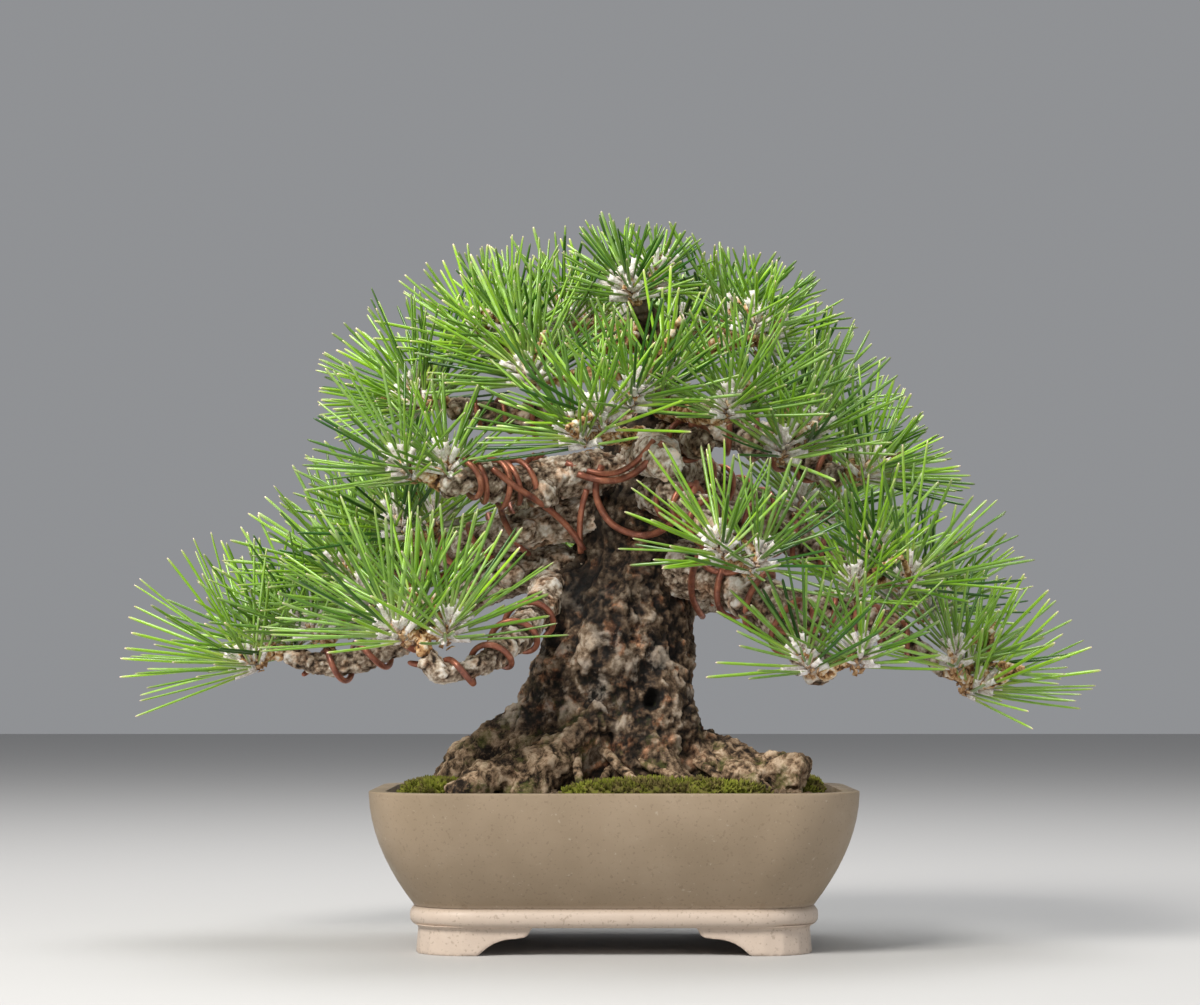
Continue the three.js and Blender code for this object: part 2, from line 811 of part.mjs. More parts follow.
// The smallest space between two thick lines.
function spaceBetween(p, q) {
  const d1 = p.b.clone().sub(p.a);
  const d2 = q.b.clone().sub(q.a);
  const r = p.a.clone().sub(q.a);
  const a = d1.dot(d1);
  const e = d2.dot(d2);
  const b = d1.dot(d2);
  const c = d1.dot(r);
  const f = d2.dot(r);
  const clamp = THREE.MathUtils.clamp;
  const spread = a * e - b * b;
  let s = spread > 1e-9 ? clamp((b * f - c * e) / spread, 0, 1) : 0;
  const t = clamp((b * s + f) / e, 0, 1);
  s = clamp((b * t - c) / a, 0, 1);
  const onP = p.a.clone().addScaledVector(d1, s);
  const onQ = q.a.clone().addScaledVector(d2, t);
  const radiusP = p.ra + (p.rb - p.ra) * s;
  const radiusQ = q.ra + (q.rb - q.ra) * t;
  return onP.distanceTo(onQ) - radiusP - radiusQ;
}

function isClear(candidate, obstacles) {
  const middle = candidate.a.clone().add(candidate.b).multiplyScalar(0.5);
  const half = candidate.a.distanceTo(candidate.b) / 2;
  return obstacles.every((other) => {
    if (other.owner === candidate.owner) return true;
    const reach = half + other.a.distanceTo(other.b) + other.ra + other.rb + 3;
    if (middle.distanceTo(other.a) > reach) return true;
    return spaceBetween(candidate, other) > gap;
  });
}

// A bud is a small many-faced ball, rolled at random about the aim. Needles grow out of its faces.
function budFaces(tuft, random) {
  const ball = new THREE.IcosahedronGeometry(budRadius, 0);
  const turn = new THREE.Quaternion().setFromUnitVectors(new THREE.Vector3(0, 1, 0), aimOf(tuft));
  ball.rotateX(0.6 * random()).rotateY(2 * Math.PI * random()).applyQuaternion(turn);
  const corners = ball.getAttribute("position");
  const faces = [];
  for (let i = 0; i < corners.count; i += 3) {
    const at = [0, 1, 2].map((k) => new THREE.Vector3().fromBufferAttribute(corners, i + k));
    const normal = at[0].clone().add(at[1]).add(at[2]).normalize();
    faces.push({ corners: at.map((corner) => corner.add(toPoint(tuft))), normal, tip: null });
  }
  return faces;
}

// How high the clipped crown reaches over a place, above the rim.
function crownTop(x, y) {
  const across = x / treeScale;
  const after = crownOutline.findIndex(([outlineX]) => outlineX > across);
  if (after < 1) return 0;
  const [x0, top0] = crownOutline[after - 1];
  const [x1, top1] = crownOutline[after];
  const top = top0 + ((top1 - top0) * (across - x0)) / (x1 - x0);
  const deep = Math.min(Math.abs(y / treeScale / crownDepth), 1);
  return treeScale * (crownFoot + (top - crownFoot) * Math.sqrt(1 - deep * deep));
}

// What is left of a needle once the crown is clipped, never less than half of it.
function clippedLength(root, direction, length) {
  for (let share = 1; share > 0.5; share -= 0.04) {
    const tip = root.clone().addScaledVector(direction, length * share);
    if (tip.z < crownTop(tip.x, tip.y)) return length * share;
  }
  return length / 2;
}

const lengthTries = [1, 0.8, 0.62];

// The longest needle from a bud's face that clears every other piece, if there is one.
function needleFrom(face, tuft, random, owner, obstacles) {
  const lean = face.normal.angleTo(aimOf(tuft));
  if (lean > needleFan) return null;
  const root = toPoint(tuft).addScaledVector(face.normal, 0.5 * budRadius);
  const full = needleLength * tuft[6] * (0.86 + 0.14 * random()) * (1 - 0.1 * lean);
  const bend = new THREE.Vector3(random() - 0.5, random() - 0.5, random() - 0.5);
  const direction = face.normal.clone().addScaledVector(bend, 0.12).normalize();
  const clipped = clippedLength(root, direction, full);
  for (const share of lengthTries) {
    const tip = root.clone().addScaledVector(direction, clipped * share);
    const needle = { a: root, b: tip, ra: 0.62 * budRadius, rb: 0, owner };
    if (isClear(needle, obstacles)) return needle;
  }
  return null;
}

// Needles are set out face by face, one tuft after another, so that every shoot gets its share.
function setOutNeedles(plans, obstacles) {
  const random = randomFrom(7);
  const sets = Object.entries(plans).flatMap(([name, plan]) =>
    plan.tufts.map((tuft) => ({ name, tuft, faces: budFaces(tuft, random) })),
  );
  for (let k = 0; k < sets[0].faces.length; k++) {
    for (const { name, tuft, faces } of sets) {
      const needle = needleFrom(faces[k], tuft, random, name, obstacles);
      if (!needle) continue;
      obstacles.push(needle);
      faces[k].tip = needle.b;
    }
  }
  return sets;
}

// A bud with its needles: each face that bears a needle is drawn out to the needle's tip.
function tuftSolid({ faces }) {
  const points = [];
  for (const { corners, tip } of faces) {
    const [a, b, c] = corners;
    if (tip) points.push(a, b, tip, b, c, tip, c, a, tip);
    else points.push(a, b, c);
  }
  return solidOf(new THREE.BufferGeometry().setFromPoints(points));
}

// ---------------------------------------------------------------- drainage fittings
function drainScreen() {
  const open = screenPitch * 0.7;
  const sheet = solidOf(new THREE.BoxGeometry(screenSize, screenSize, screenThickness));
  const holes = [];
  for (let i = 0; i < screenMesh; i++) {
    for (let j = 0; j < screenMesh; j++) {
      const x = screenPitch * (i + 0.5) - screenSize / 2;
      const y = screenPitch * (j + 0.5) - screenSize / 2;
      const hole = new THREE.BoxGeometry(open, open, 3 * screenThickness);
      holes.push(solidOf(hole.translate(x, y, 0)));
    }
  }
  return geometryOf(cut(sheet, holes)).translate(0, 0, screenThickness / 2);
}

// A bent wire staple: its back lies on the screen and its legs go down the hole and turn out.
function screenClip() {
  const top = potFloor + gap + screenThickness + gap + clipRadius;
  const under = -bandHeight - 2 * gap - 2 * clipRadius;
  const reach = drainRadius + 6;
  const route = [
    [-reach, under],
    [-clipLeg - 2, under],
    [-clipLeg - 0.3, under + 0.6],
    [-clipLeg, under + 3],
    [-clipLeg, top - 2.4],
    [-clipLeg + 0.7, top - 0.4],
    [-clipLeg + 2.4, top],
  ];
  const mirrored = [...route].reverse().map(([x, z]) => [-x, z]);
  const stations = [...route, ...mirrored].map(([x, z]) => [x, 0, z, clipRadius]);
  return new Limb(stations, { sides: 5, steps: 20, lump: 0 });
}

// The wire that ties the root ball down: up through both drain holes and across under the pot.
function anchorWire(low, high) {
  const inner = drainOffset - 1;
  const aside = drainRadius - anchorRadius - 1;
  const lift = high - low;
  const route = [
    [-inner + 8, high],
    [-inner + 3, low + lift * 0.93],
    [-inner, low + lift * 0.8],
    [-inner, low + 4],
    [-inner + 2, low],
  ];
  const mirrored = [...route].reverse().map(([x, z]) => [-x, z]);
  const stations = [...route, [0, low], ...mirrored].map(([x, z]) => [x, aside, z, anchorRadius]);
  return new Limb(stations, { sides: 5, steps: 24, lump: 0 });
}

// ---------------------------------------------------------------- soil and moss
// The soil fills the bowl to just under the rim and rises towards the trunk. Heights are in the
// pot's frame.
function soilBody() {
  const rings = [];
  const edge = potHeight - soilDrop;
  const wallSteps = 4;
  const bottom = floorTop + gap;
  for (let i = 0; i <= wallSteps; i++) {
    const z = bottom + ((edge - bottom) * i) / wallSteps;
    rings.push(potRing(bowlInsetAt(z) + potWall + gap + 0.25, z));
  }
  const inner = potWall + gap + 0.25;
  const steps = 4;
  for (let i = 1; i <= steps; i++) {
    const share = i / (steps + 1);
    const inset = inner + share * (potDepth / 2 - inner - 3);
    rings.push(potRing(inset, edge + soilMound * Math.sin((share * Math.PI) / 2)));
  }
  const low = new THREE.Vector3(0, 0, bottom);
  const high = new THREE.Vector3(0, 0, edge + soilMound);
  return solidOf(loft(rings, low, high));
}

// Moss cushions: place and half size as shares of the pot's opening, and height above the soil.
const mossCushions = {
  moss_front: [0.19, -0.77, 0.48, 0.17, 6.4],
  moss_left: [-0.78, -0.41, 0.15, 0.32, 5.6],
  moss_right: [0.83, 0.11, 0.13, 0.45, 5.6],
};

function mossBody([shareX, shareY, shareWidth, shareDepth, height]) {
  const [x, halfWidth] = [shareX * insideX, shareWidth * insideX];
  const [y, halfDepth] = [shareY * insideY, shareDepth * insideY];
  const rings = [];
  const edge = potHeight - soilDrop;
  const points = 14;
  const profile = [[1, -6], [1, 1.4], [0.82, height * 0.8], [0.45, height]];
  for (const [share, rise] of profile) {
    const ring = [];
    for (let j = 0; j < points; j++) {
      const angle = (2 * Math.PI * j) / points;
      const wobble = share * (1 + 0.1 * Math.sin(3 * angle + x) + 0.07 * Math.sin(5 * angle + y));
      const px = x + halfWidth * wobble * Math.cos(angle);
      const py = y + halfDepth * wobble * Math.sin(angle);
      ring.push(new THREE.Vector3(px, py, edge + rise));
    }
    rings.push(ring);
  }
  const low = new THREE.Vector3(x, y, edge - 6);
  const high = new THREE.Vector3(x, y, edge + height * 1.05);
  return solidOf(loft(rings, low, high));
}

// ---------------------------------------------------------------- materials
function finish(color, roughness, metalness = 0) {
  return new THREE.MeshStandardMaterial({ color, roughness, metalness });
}
const stoneware = finish(0xa08a6c, 0.65);
const darkSoil = finish(0x3d2c1e, 0.95);
const mossGreen = finish(0x5c7a24, 0.95);
const trunkBark = finish(0x5a4634, 0.95);
const branchBark = finish(0x8a7560, 0.9);
const copper = finish(0x8a4a38, 0.45, 0.8);
const needleGreen = finish(0x6ba32c, 0.5);
const blackMesh = finish(0x1c1c1c, 0.6);
const aluminium = finish(0x9a9a9a, 0.4, 0.9);

function piece(name, geometry, material) {
  const mesh = new THREE.Mesh(geometry, material);
  mesh.name = name;
  return mesh;
}

// ---------------------------------------------------------------- assembly
const potGroup = new THREE.Group();
const plantGroup = new THREE.Group();
plantGroup.position.z = potHeight;

potGroup.add(piece("pot", geometryOf(pot()), stoneware));
const clip = screenClip();
const screenPads = [];
for (const [side, x] of [["left", -drainOffset], ["right", drainOffset]]) {
  const screen = piece(`drain_screen_${side}`, drainScreen(), blackMesh);
  screen.position.set(x, 0, floorTop + gap);
  const staple = piece(`screen_clip_${side}`, geometryOf(clip.solid()), aluminium);
  staple.position.set(x, 0, bowlFoot);
  potGroup.add(screen, staple);
  const room = screenThickness + 2 * gap + 2 * clipRadius + gap;
  const pad = new THREE.BoxGeometry(screenSize + 2 * gap, screenSize + 2 * gap, 2 * room);
  screenPads.push(solidOf(pad.translate(x, 0, floorTop)));
}

const anchorLow = footHeight - gap - anchorRadius;
const anchor = anchorWire(anchorLow, floorTop + 8);
potGroup.add(piece("anchor_wire", geometryOf(anchor.solid()), aluminium));

const drop = [0, 0, potHeight];
const trunkInPot = trunkSolid(gap).translate(drop);
const soilWhole = soilBody();
const soil = cut(soilWhole, [trunkInPot, anchor.solid(gap), ...screenPads]);
potGroup.add(piece("soil", geometryOf(soil), darkSoil));

const soilRaised = soilWhole.translate([0, 0, gap]);
const wallKeepOut = (() => {
  const inset = potWall + 2 * gap;
  const plug = lofted([potRing(inset, potHeight - 20), potRing(inset, potHeight + 20)]);
  return plug;
})();
for (const [name, plan] of Object.entries(mossCushions)) {
  const moss = cut(mossBody(plan).intersect(wallKeepOut), [soilRaised, trunkInPot]);
  potGroup.add(piece(name, geometryOf(moss), mossGreen));
}

// Wood: each limb is cut back from those already there.
const obstacles = [trunk, ...roots].flatMap((limb) => limb.capsules("trunk"));
plantGroup.add(piece("trunk", geometryOf(trunkSolid()), trunkBark));
const cutters = [trunkSolid(gap), ...wires.map((wire) => wire.limb.solid(gap))];
for (const { name, limb } of branches) {
  const solid = cut(limb.solid(), cutters);
  cutters.push(limb.solid(gap));
  obstacles.push(...limb.capsules(name));
  plantGroup.add(piece(name, geometryOf(solid), branchBark));
}
for (const { name, limb } of wires) {
  obstacles.push(...limb.capsules(name));
  plantGroup.add(piece(name, geometryOf(limb.solid()), copper));
}

const twigSets = Object.entries(shootPlans).map(([name, plan]) => ({ name, twigs: twigsOf(plan) }));
for (const { name, twigs } of twigSets) {
  const buds = shootPlans[name].tufts.map((tuft) => {
    const centre = toPoint(tuft);
    const end = centre.clone().addScaledVector(aimOf(tuft), 0.1);
    return { a: centre, b: end, ra: budRadius, rb: budRadius, owner: name };
  });
  obstacles.push(...buds, ...twigs.flatMap((twig) => twig.capsules(name)));
}
const tufts = setOutNeedles(shootPlans, obstacles);
for (const { name, twigs } of twigSets) {
  const own = tufts.filter((tuft) => tuft.name === name).map(tuftSolid);
  const whole = wasm.Manifold.union([...twigs.map((twig) => twig.solid()), ...own]);
  plantGroup.add(piece(name, geometryOf(cut(whole, cutters)), needleGreen));
  cutters.push(wasm.Manifold.union(twigs.map((twig) => twig.solid(gap))));
}

// The origin is on the surface that the pot stands on, at the middle of the whole plant's extent.
const bonsai = new THREE.Group();
bonsai.add(potGroup, plantGroup);
const extent = new THREE.Box3().setFromObject(bonsai);
const middle = extent.getCenter(new THREE.Vector3());
bonsai.position.set(-middle.x, -middle.y, 0);
const part = new THREE.Group();
part.add(bonsai);

export default part;
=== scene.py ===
import json
import math
import random

import bmesh
import bpy
import numpy as np
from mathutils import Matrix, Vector, noise
from mathutils.bvhtree import BVHTree

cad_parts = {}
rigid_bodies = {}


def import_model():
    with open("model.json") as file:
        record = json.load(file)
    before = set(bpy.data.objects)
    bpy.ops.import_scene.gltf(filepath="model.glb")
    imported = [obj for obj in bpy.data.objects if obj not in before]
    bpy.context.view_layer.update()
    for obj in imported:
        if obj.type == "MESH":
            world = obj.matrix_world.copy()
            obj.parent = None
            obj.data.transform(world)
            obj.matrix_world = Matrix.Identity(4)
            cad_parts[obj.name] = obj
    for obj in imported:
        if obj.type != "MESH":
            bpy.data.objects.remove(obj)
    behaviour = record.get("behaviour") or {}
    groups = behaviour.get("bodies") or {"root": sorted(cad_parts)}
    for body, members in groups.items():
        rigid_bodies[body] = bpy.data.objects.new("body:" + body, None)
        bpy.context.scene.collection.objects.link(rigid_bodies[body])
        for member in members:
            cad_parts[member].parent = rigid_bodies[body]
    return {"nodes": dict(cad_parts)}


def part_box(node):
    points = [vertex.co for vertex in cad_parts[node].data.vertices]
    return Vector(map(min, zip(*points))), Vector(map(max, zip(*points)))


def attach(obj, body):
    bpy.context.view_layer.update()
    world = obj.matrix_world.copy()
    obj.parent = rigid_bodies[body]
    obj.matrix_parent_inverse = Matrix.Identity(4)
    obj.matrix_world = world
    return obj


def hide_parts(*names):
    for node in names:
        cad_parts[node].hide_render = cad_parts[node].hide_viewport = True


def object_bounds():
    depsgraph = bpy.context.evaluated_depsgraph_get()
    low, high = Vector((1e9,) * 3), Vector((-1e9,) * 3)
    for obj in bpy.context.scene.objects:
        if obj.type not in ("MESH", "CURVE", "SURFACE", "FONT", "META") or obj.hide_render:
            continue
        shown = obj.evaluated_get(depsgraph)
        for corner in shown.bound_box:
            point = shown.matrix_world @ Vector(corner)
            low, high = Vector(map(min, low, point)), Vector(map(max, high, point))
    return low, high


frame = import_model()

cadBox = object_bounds()
mm = 0.001
noise.seed_set(1)  # the offsets of noise_vector are the same in every run
potLow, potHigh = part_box("pot")
potMiddle = (potLow + potHigh) / 2
rimZ = potHigh.z
print("stage: frame loaded", [round(v, 4) for v in (*cadBox[0], *cadBox[1])])


# Working habits.
def deselectAll():
    bpy.ops.object.select_all(action="DESELECT")


def makeActive(piece):
    deselectAll()
    piece.select_set(True)
    bpy.context.view_layer.objects.active = piece


def editing(piece, pick="SELECT"):
    makeActive(piece)
    bpy.ops.object.mode_set(mode="EDIT")
    bpy.ops.mesh.select_all(action=pick)


def doneEditing():
    bpy.ops.object.mode_set(mode="OBJECT")


def applied(piece, kind, **settings):  # adds a modifier and applies it
    makeActive(piece)
    modifier = piece.modifiers.new(kind.title(), kind)
    for name, value in settings.items():
        setattr(modifier, name, value)
    bpy.ops.object.modifier_apply(modifier=modifier.name)


def remeshed(piece, voxel, rounds=0, factor=0.6):  # an even skin, then rounds of smoothing
    applied(piece, "REMESH", mode="VOXEL", voxel_size=voxel)
    if rounds:
        applied(piece, "SMOOTH", factor=factor, iterations=rounds)


def placeInMesh(piece):
    makeActive(piece)
    bpy.ops.object.transform_apply(location=True, rotation=True, scale=True)


def newPiece(name, mesh):
    piece = bpy.data.objects.new(name, mesh)
    bpy.context.collection.objects.link(piece)
    return piece


def mergedCopy(node, name):  # a CAD node's own copy, its loose triangles joined
    piece = newPiece(name, frame["nodes"][node].data.copy())
    piece.data.name = name
    piece.data.materials.clear()
    editing(piece)
    bpy.ops.mesh.remove_doubles(threshold=0.002 * mm)
    bpy.ops.mesh.customdata_custom_splitnormals_clear()
    doneEditing()
    return piece


def selectWhere(piece, kind, wanted):  # asks wanted(centre, normal) of faces, wanted(end, end) of edges
    bpy.ops.mesh.select_mode(type=kind)
    bm = bmesh.from_edit_mesh(piece.data)
    if kind == "FACE":
        for face in bm.faces:
            face.select_set(bool(wanted(face.calc_center_median(), face.normal)))
        bm.select_flush_mode()
    else:
        for edge in bm.edges:
            edge.select_set(bool(wanted(edge.verts[0].co, edge.verts[1].co)))
    bmesh.update_edit_mesh(piece.data)


def nodesNamed(*starts):
    return sorted(node for node in frame["nodes"] if node.startswith(starts))


def titled(words):
    return "".join(word.title() for word in words)


def showAs(piece, material, slot, *nodes, smooth=True):
    if smooth:
        makeActive(piece)
        bpy.ops.object.shade_smooth()
    piece.data.materials.clear()
    piece.data.materials.append(material)
    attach(piece, "root")
    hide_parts(*nodes)


def pointArray(mesh, what="co"):
    values = np.empty(len(mesh.vertices) * 3, np.float32)
    if what == "co":
        mesh.vertices.foreach_get("co", values)
    else:
        mesh.vertex_normals.foreach_get("vector", values)
    return values.reshape(-1, 3).astype(float)


def setPoints(mesh, points):
    mesh.vertices.foreach_set("co", np.asarray(points, np.float32).ravel())
    mesh.update()


def keepNumber(mesh, name, values):  # one number for each point, for the material
    old = mesh.attributes.get(name)
    if old:
        mesh.attributes.remove(old)
    mesh.attributes.new(name, "FLOAT", "POINT").data.foreach_set(
        "value", np.asarray(values, np.float32)
    )


# Materials.
class Nodes:  # a small helper for wiring one material
    def __init__(self, name):
        self.material = bpy.data.materials.new(name)
        self.material.use_nodes = True
        self.tree = self.material.node_tree
        self.shader = self.tree.nodes["Principled BSDF"]
        self.place = self.add("ShaderNodeTexCoord").outputs["Object"]

    def feed(self, socket, value):  # value is a colour, a number or another node's output
        if isinstance(value, tuple):
            socket.default_value = (*value, 1)
        elif isinstance(value, (int, float)):
            socket.default_value = value
        else:
            self.tree.links.new(value, socket)

    def add(self, kind, inputs={}, **settings):
        node = self.tree.nodes.new(kind)
        for name, value in settings.items():
            setattr(node, name, value)
        for name, value in inputs.items():
            self.feed(node.inputs[name], value)
        return node

    def noise(self, size, detail=4, rough=0.55, distort=0.0):  # size in mm
        values = {"Scale": 1 / (size * mm), "Detail": detail, "Roughness": rough, "Distortion": distort}
        return self.add("ShaderNodeTexNoise", {"Vector": self.place, **values}).outputs["Fac"]

    def number(self, name):
        return self.add("ShaderNodeAttribute", attribute_name=name).outputs["Fac"]

    def placeOn(self, axis):  # X, Y or Z in metres
        return self.add("ShaderNodeSeparateXYZ", {"Vector": self.place}).outputs[axis]

    def ramp(self, source, *stops):  # stops are (place, colour or number)
        node = self.add("ShaderNodeValToRGB", {"Fac": source})
        elements = node.color_ramp.elements
        while len(elements) < len(stops):
            elements.new(0.5)
        for element, (place, value) in zip(elements, stops):
            element.position = place
            colour = value if isinstance(value, tuple) else (value, value, value)
            element.color = (*colour, 1)
        return node.outputs["Color"]

    def patches(self, low, high, *grain):  # 0 where the noise is under low, 1 where it is over high
        return self.ramp(self.noise(*grain), (low, 0.0), (high, 1.0))

    def span(self, source, low, high, toLow=0.0, toHigh=1.0):
        ends = {"From Min": low, "From Max": high, "To Min": toLow, "To Max": toHigh}
        return self.add("ShaderNodeMapRange", {"Value": source, **ends}).outputs["Result"]

    def above(self, low, high, toLow=0.0, toHigh=1.0):  # goes by the height over the rim, in mm
        return self.span(self.placeOn("Z"), rimZ + low * mm, rimZ + high * mm, toLow, toHigh)

    def mix(self, share, first, second, blend="MIX"):
        node = self.add("ShaderNodeMix", {"Factor": share}, data_type="RGBA", blend_type=blend)
        colours = [socket for socket in node.inputs if socket.type == "RGBA"]
        for socket, value in zip(colours, (first, second)):
            self.feed(socket, value)
        return [socket for socket in node.outputs if socket.type == "RGBA"][0]

    def math(self, operation, first, second):
        node = self.add("ShaderNodeMath", operation=operation)
        for socket, value in zip(node.inputs, (first, second)):
            self.feed(socket, value)
        return node.outputs["Value"]

    def times(self, first, second):
        return self.math("MULTIPLY", first, second)

    def sum(self, first, share, second, otherShare):  # each times its share
        return self.math("ADD", self.times(first, share), self.times(second, otherShare))

    def tinted(self, colour, by):
        return self.mix(1.0, colour, by, "MULTIPLY")

    def bump(self, source, strength, distance=0.3, after=None):  # distance in mm
        values = {"Strength": strength, "Distance": distance * mm, "Height": source}
        node = self.add("ShaderNodeBump", {**values, "Normal": after} if after else values)
        return node.outputs["Normal"]

    def finish(self, colour, rough, normal=None, specular=0.5, metal=0.0):
        inputs = self.shader.inputs
        self.feed(inputs["Base Color"], colour)
        self.feed(inputs["Roughness"], rough)
        if normal:
            self.feed(inputs["Normal"], normal)
        self.feed(inputs["Specular IOR Level"], specular)
        self.feed(inputs["Metallic"], metal)
        return self.material


def makeStoneware():
    n = Nodes("stoneware")
    clay = n.ramp(
        n.noise(28, 3), (0.3, (0.262, 0.198, 0.13)), (0.55, (0.304, 0.231, 0.156)),
        (0.75, (0.345, 0.267, 0.186)),
    )
    low = n.span(n.placeOn("Z"), 13.5 * mm, 16.5 * mm, 1, 0)
    lighter = n.mix(n.noise(6, 5), (0.5, 0.405, 0.33), (0.61, 0.51, 0.432))
    clay = n.mix(n.times(low, 0.88), clay, lighter)
    darkSpots = n.patches(0.6, 0.68, 1.1, 2, 0.5)
    paleSpots = n.patches(0.66, 0.74, 1.6, 3, 0.6)
    clay = n.mix(n.times(darkSpots, 0.35), clay, (0.17, 0.12, 0.075))
    clay = n.mix(n.times(paleSpots, 0.3), clay, (0.62, 0.56, 0.46))
    grit = n.bump(n.noise(0.8, 4, 0.6), 0.25, 0.12)
    dent = n.bump(n.noise(14, 3), 0.35, 0.5, grit)
    rough = n.span(n.noise(9, 4), 0.3, 0.7, 0.42, 0.62)
    return n.finish(clay, rough, dent, specular=0.42)


def makeTrunkBark():
    n = Nodes("trunkBark")
    relief, root = n.number("relief"), n.number("root")
    level = n.sum(n.noise(1.9, 7, 0.74), 0.75, relief, 0.4)
    bark = n.ramp(
        level, (0.38, (0.004, 0.003, 0.002)), (0.48, (0.026, 0.016, 0.01)),
        (0.57, (0.09, 0.056, 0.033)), (0.68, (0.21, 0.146, 0.094)), (0.8, (0.44, 0.355, 0.268)),
    )
    rust = n.patches(0.54, 0.62, 7, 5, 0.65)
    bark = n.mix(n.times(rust, 0.45), bark, n.tinted(bark, (2.1, 1.0, 0.5)))
    stain = n.ramp(n.noise(17, 4, 0.6), (0.46, 1.0), (0.56, 0.0))
    stain = n.times(stain, n.above(20, 58, 0.3, 0.9))
    bark = n.mix(stain, bark, n.tinted(bark, (0.3, 0.29, 0.28)))
    zone = n.times(
        n.above(12, 24),
        n.above(52, 74, 1, 0.12),
    )
    spot = n.sum(n.noise(10, 6, 0.68), 0.86, relief, 0.18)
    lichen = n.times(n.ramp(spot, (0.55, 0.0), (0.68, 1.0)), zone)
    crust = n.mix(n.noise(1.3, 4), (0.22, 0.165, 0.115), (0.6, 0.54, 0.47))
    bark = n.mix(n.times(lichen, 0.66), bark, crust)
    # painted shade: the upper left of the trunk, under the branches, is darkened as if in their shadow
    paintedShadeUnderBranches = n.times(
        n.above(44, 66),
        n.span(n.placeOn("X"), potMiddle.x - 4 * mm, potMiddle.x + 14 * mm, 0.8, 0.15),
    )
    bark = n.mix(paintedShadeUnderBranches, bark, n.tinted(bark, (0.28, 0.27, 0.25)))
    grain = n.noise(2.4, 7, 0.74, 0.8)
    rootTan = n.ramp(
        n.sum(grain, 0.8, relief, 0.25), (0.4, (0.012, 0.007, 0.004)), (0.49, (0.14, 0.088, 0.05)),
        (0.57, (0.37, 0.252, 0.155)), (0.68, (0.6, 0.46, 0.322)),
    )
    bark = n.mix(n.times(root, 0.85), bark, rootTan)
    nearSoil = n.above(2, 38, 1, 0)
    greenPatch = n.patches(0.53, 0.62, 8, 6, 0.7)
    green = n.mix(n.noise(1.5, 3), (0.045, 0.05, 0.01), (0.15, 0.165, 0.035))
    bark = n.mix(n.times(n.times(nearSoil, greenPatch), 0.7), bark, green)
    fine = n.bump(n.noise(0.6, 5, 0.7), 0.55, 0.2)
    ridges = n.bump(n.noise(1.8, 6, 0.7), 0.8, 0.6, fine)
    return n.finish(bark, n.span(n.noise(3, 3), 0.3, 0.7, 0.68, 0.95), ridges, specular=0.28)


def makeBranchBark(name, lightness):
    n = Nodes(name)
    relief = n.number("relief")
    level = n.sum(n.noise(1.9, 6, 0.68), 0.7, relief, 0.4)
    level = n.math("ADD", level, lightness)
    grey = n.ramp(
        level, (0.34, (0.022, 0.014, 0.009)), (0.44, (0.14, 0.094, 0.062)),
        (0.55, (0.33, 0.255, 0.186)), (0.66, (0.56, 0.48, 0.39)), (0.8, (0.76, 0.72, 0.66)),
    )
    rust = n.patches(0.52, 0.64, 6, 5, 0.6)
    grey = n.mix(n.times(rust, 0.5), grey, n.tinted(grey, (1.25, 0.82, 0.55)))
    fine = n.bump(n.noise(0.5, 5, 0.7), 0.5, 0.2)
    ridges = n.bump(n.noise(1.3, 5, 0.65), 0.7, 0.4, fine)
    return n.finish(grey, 0.84, ridges, specular=0.3)


def makeTwigBark():
    n = Nodes("twigBark")
    relief = n.number("relief")
    level = n.sum(n.noise(1.6, 5, 0.65), 0.7, relief, 0.4)
    tan = n.ramp(
        level, (0.36, (0.05, 0.022, 0.01)), (0.47, (0.29, 0.14, 0.055)),
        (0.58, (0.58, 0.35, 0.16)), (0.68, (0.76, 0.61, 0.43)), (0.82, (0.86, 0.8, 0.72)),
    )
    scales = n.bump(n.noise(0.8, 4, 0.6), 0.6, 0.3)
    return n.finish(tan, 0.78, scales, specular=0.3)


def makeNeedleGreen():
    n = Nodes("needleGreen")
    along, tint = n.number("along"), n.number("tint")
    green = n.ramp(
        along, (0.0, (0.62, 0.66, 0.36)), (0.09, (0.33, 0.5, 0.06)), (0.4, (0.168, 0.405, 0.008)),
        (0.9, (0.2, 0.45, 0.012)), (0.985, (0.34, 0.46, 0.1)), (1.0, (0.56, 0.5, 0.28)),
    )
    deep = n.tinted(green, (0.1, 0.22, 0.1))
    bright = n.tinted(green, (2.0, 1.58, 2.5))
    green = n.mix(tint, deep, bright)
    # pale lines down one side of each needle, partly its own stomatal lines and partly a painted highlight,
    # stronger on brighter needles
    paleLinesAndPaintedHighlight = n.times(n.number("side"), n.ramp(n.noise(3, 3), (0.4, 0.15), (0.65, 0.8)))
    green = n.mix(n.times(n.times(paleLinesAndPaintedHighlight, tint), 0.75), green, (0.5, 0.68, 0.38))
    return n.finish(green, 0.3, None, specular=0.65)


def makeBudScale():
    n = Nodes("budScale")
    scale = n.ramp(
        n.noise(1.3, 4, 0.65), (0.3, (0.36, 0.22, 0.17)), (0.44, (0.7, 0.6, 0.54)),
        (0.58, (0.92, 0.88, 0.86)),
    )
    tan = n.ramp(
        n.noise(1.6, 4, 0.65), (0.34, (0.13, 0.06, 0.03)), (0.48, (0.48, 0.27, 0.12)),
        (0.62, (0.74, 0.56, 0.37)),
    )
    scale = n.mix(n.ramp(n.number("tint"), (0.3, 0.0), (0.72, 1.0)), tan, scale)
    return n.finish(scale, 0.65, n.bump(n.noise(0.6, 3), 0.5, 0.2), specular=0.35)


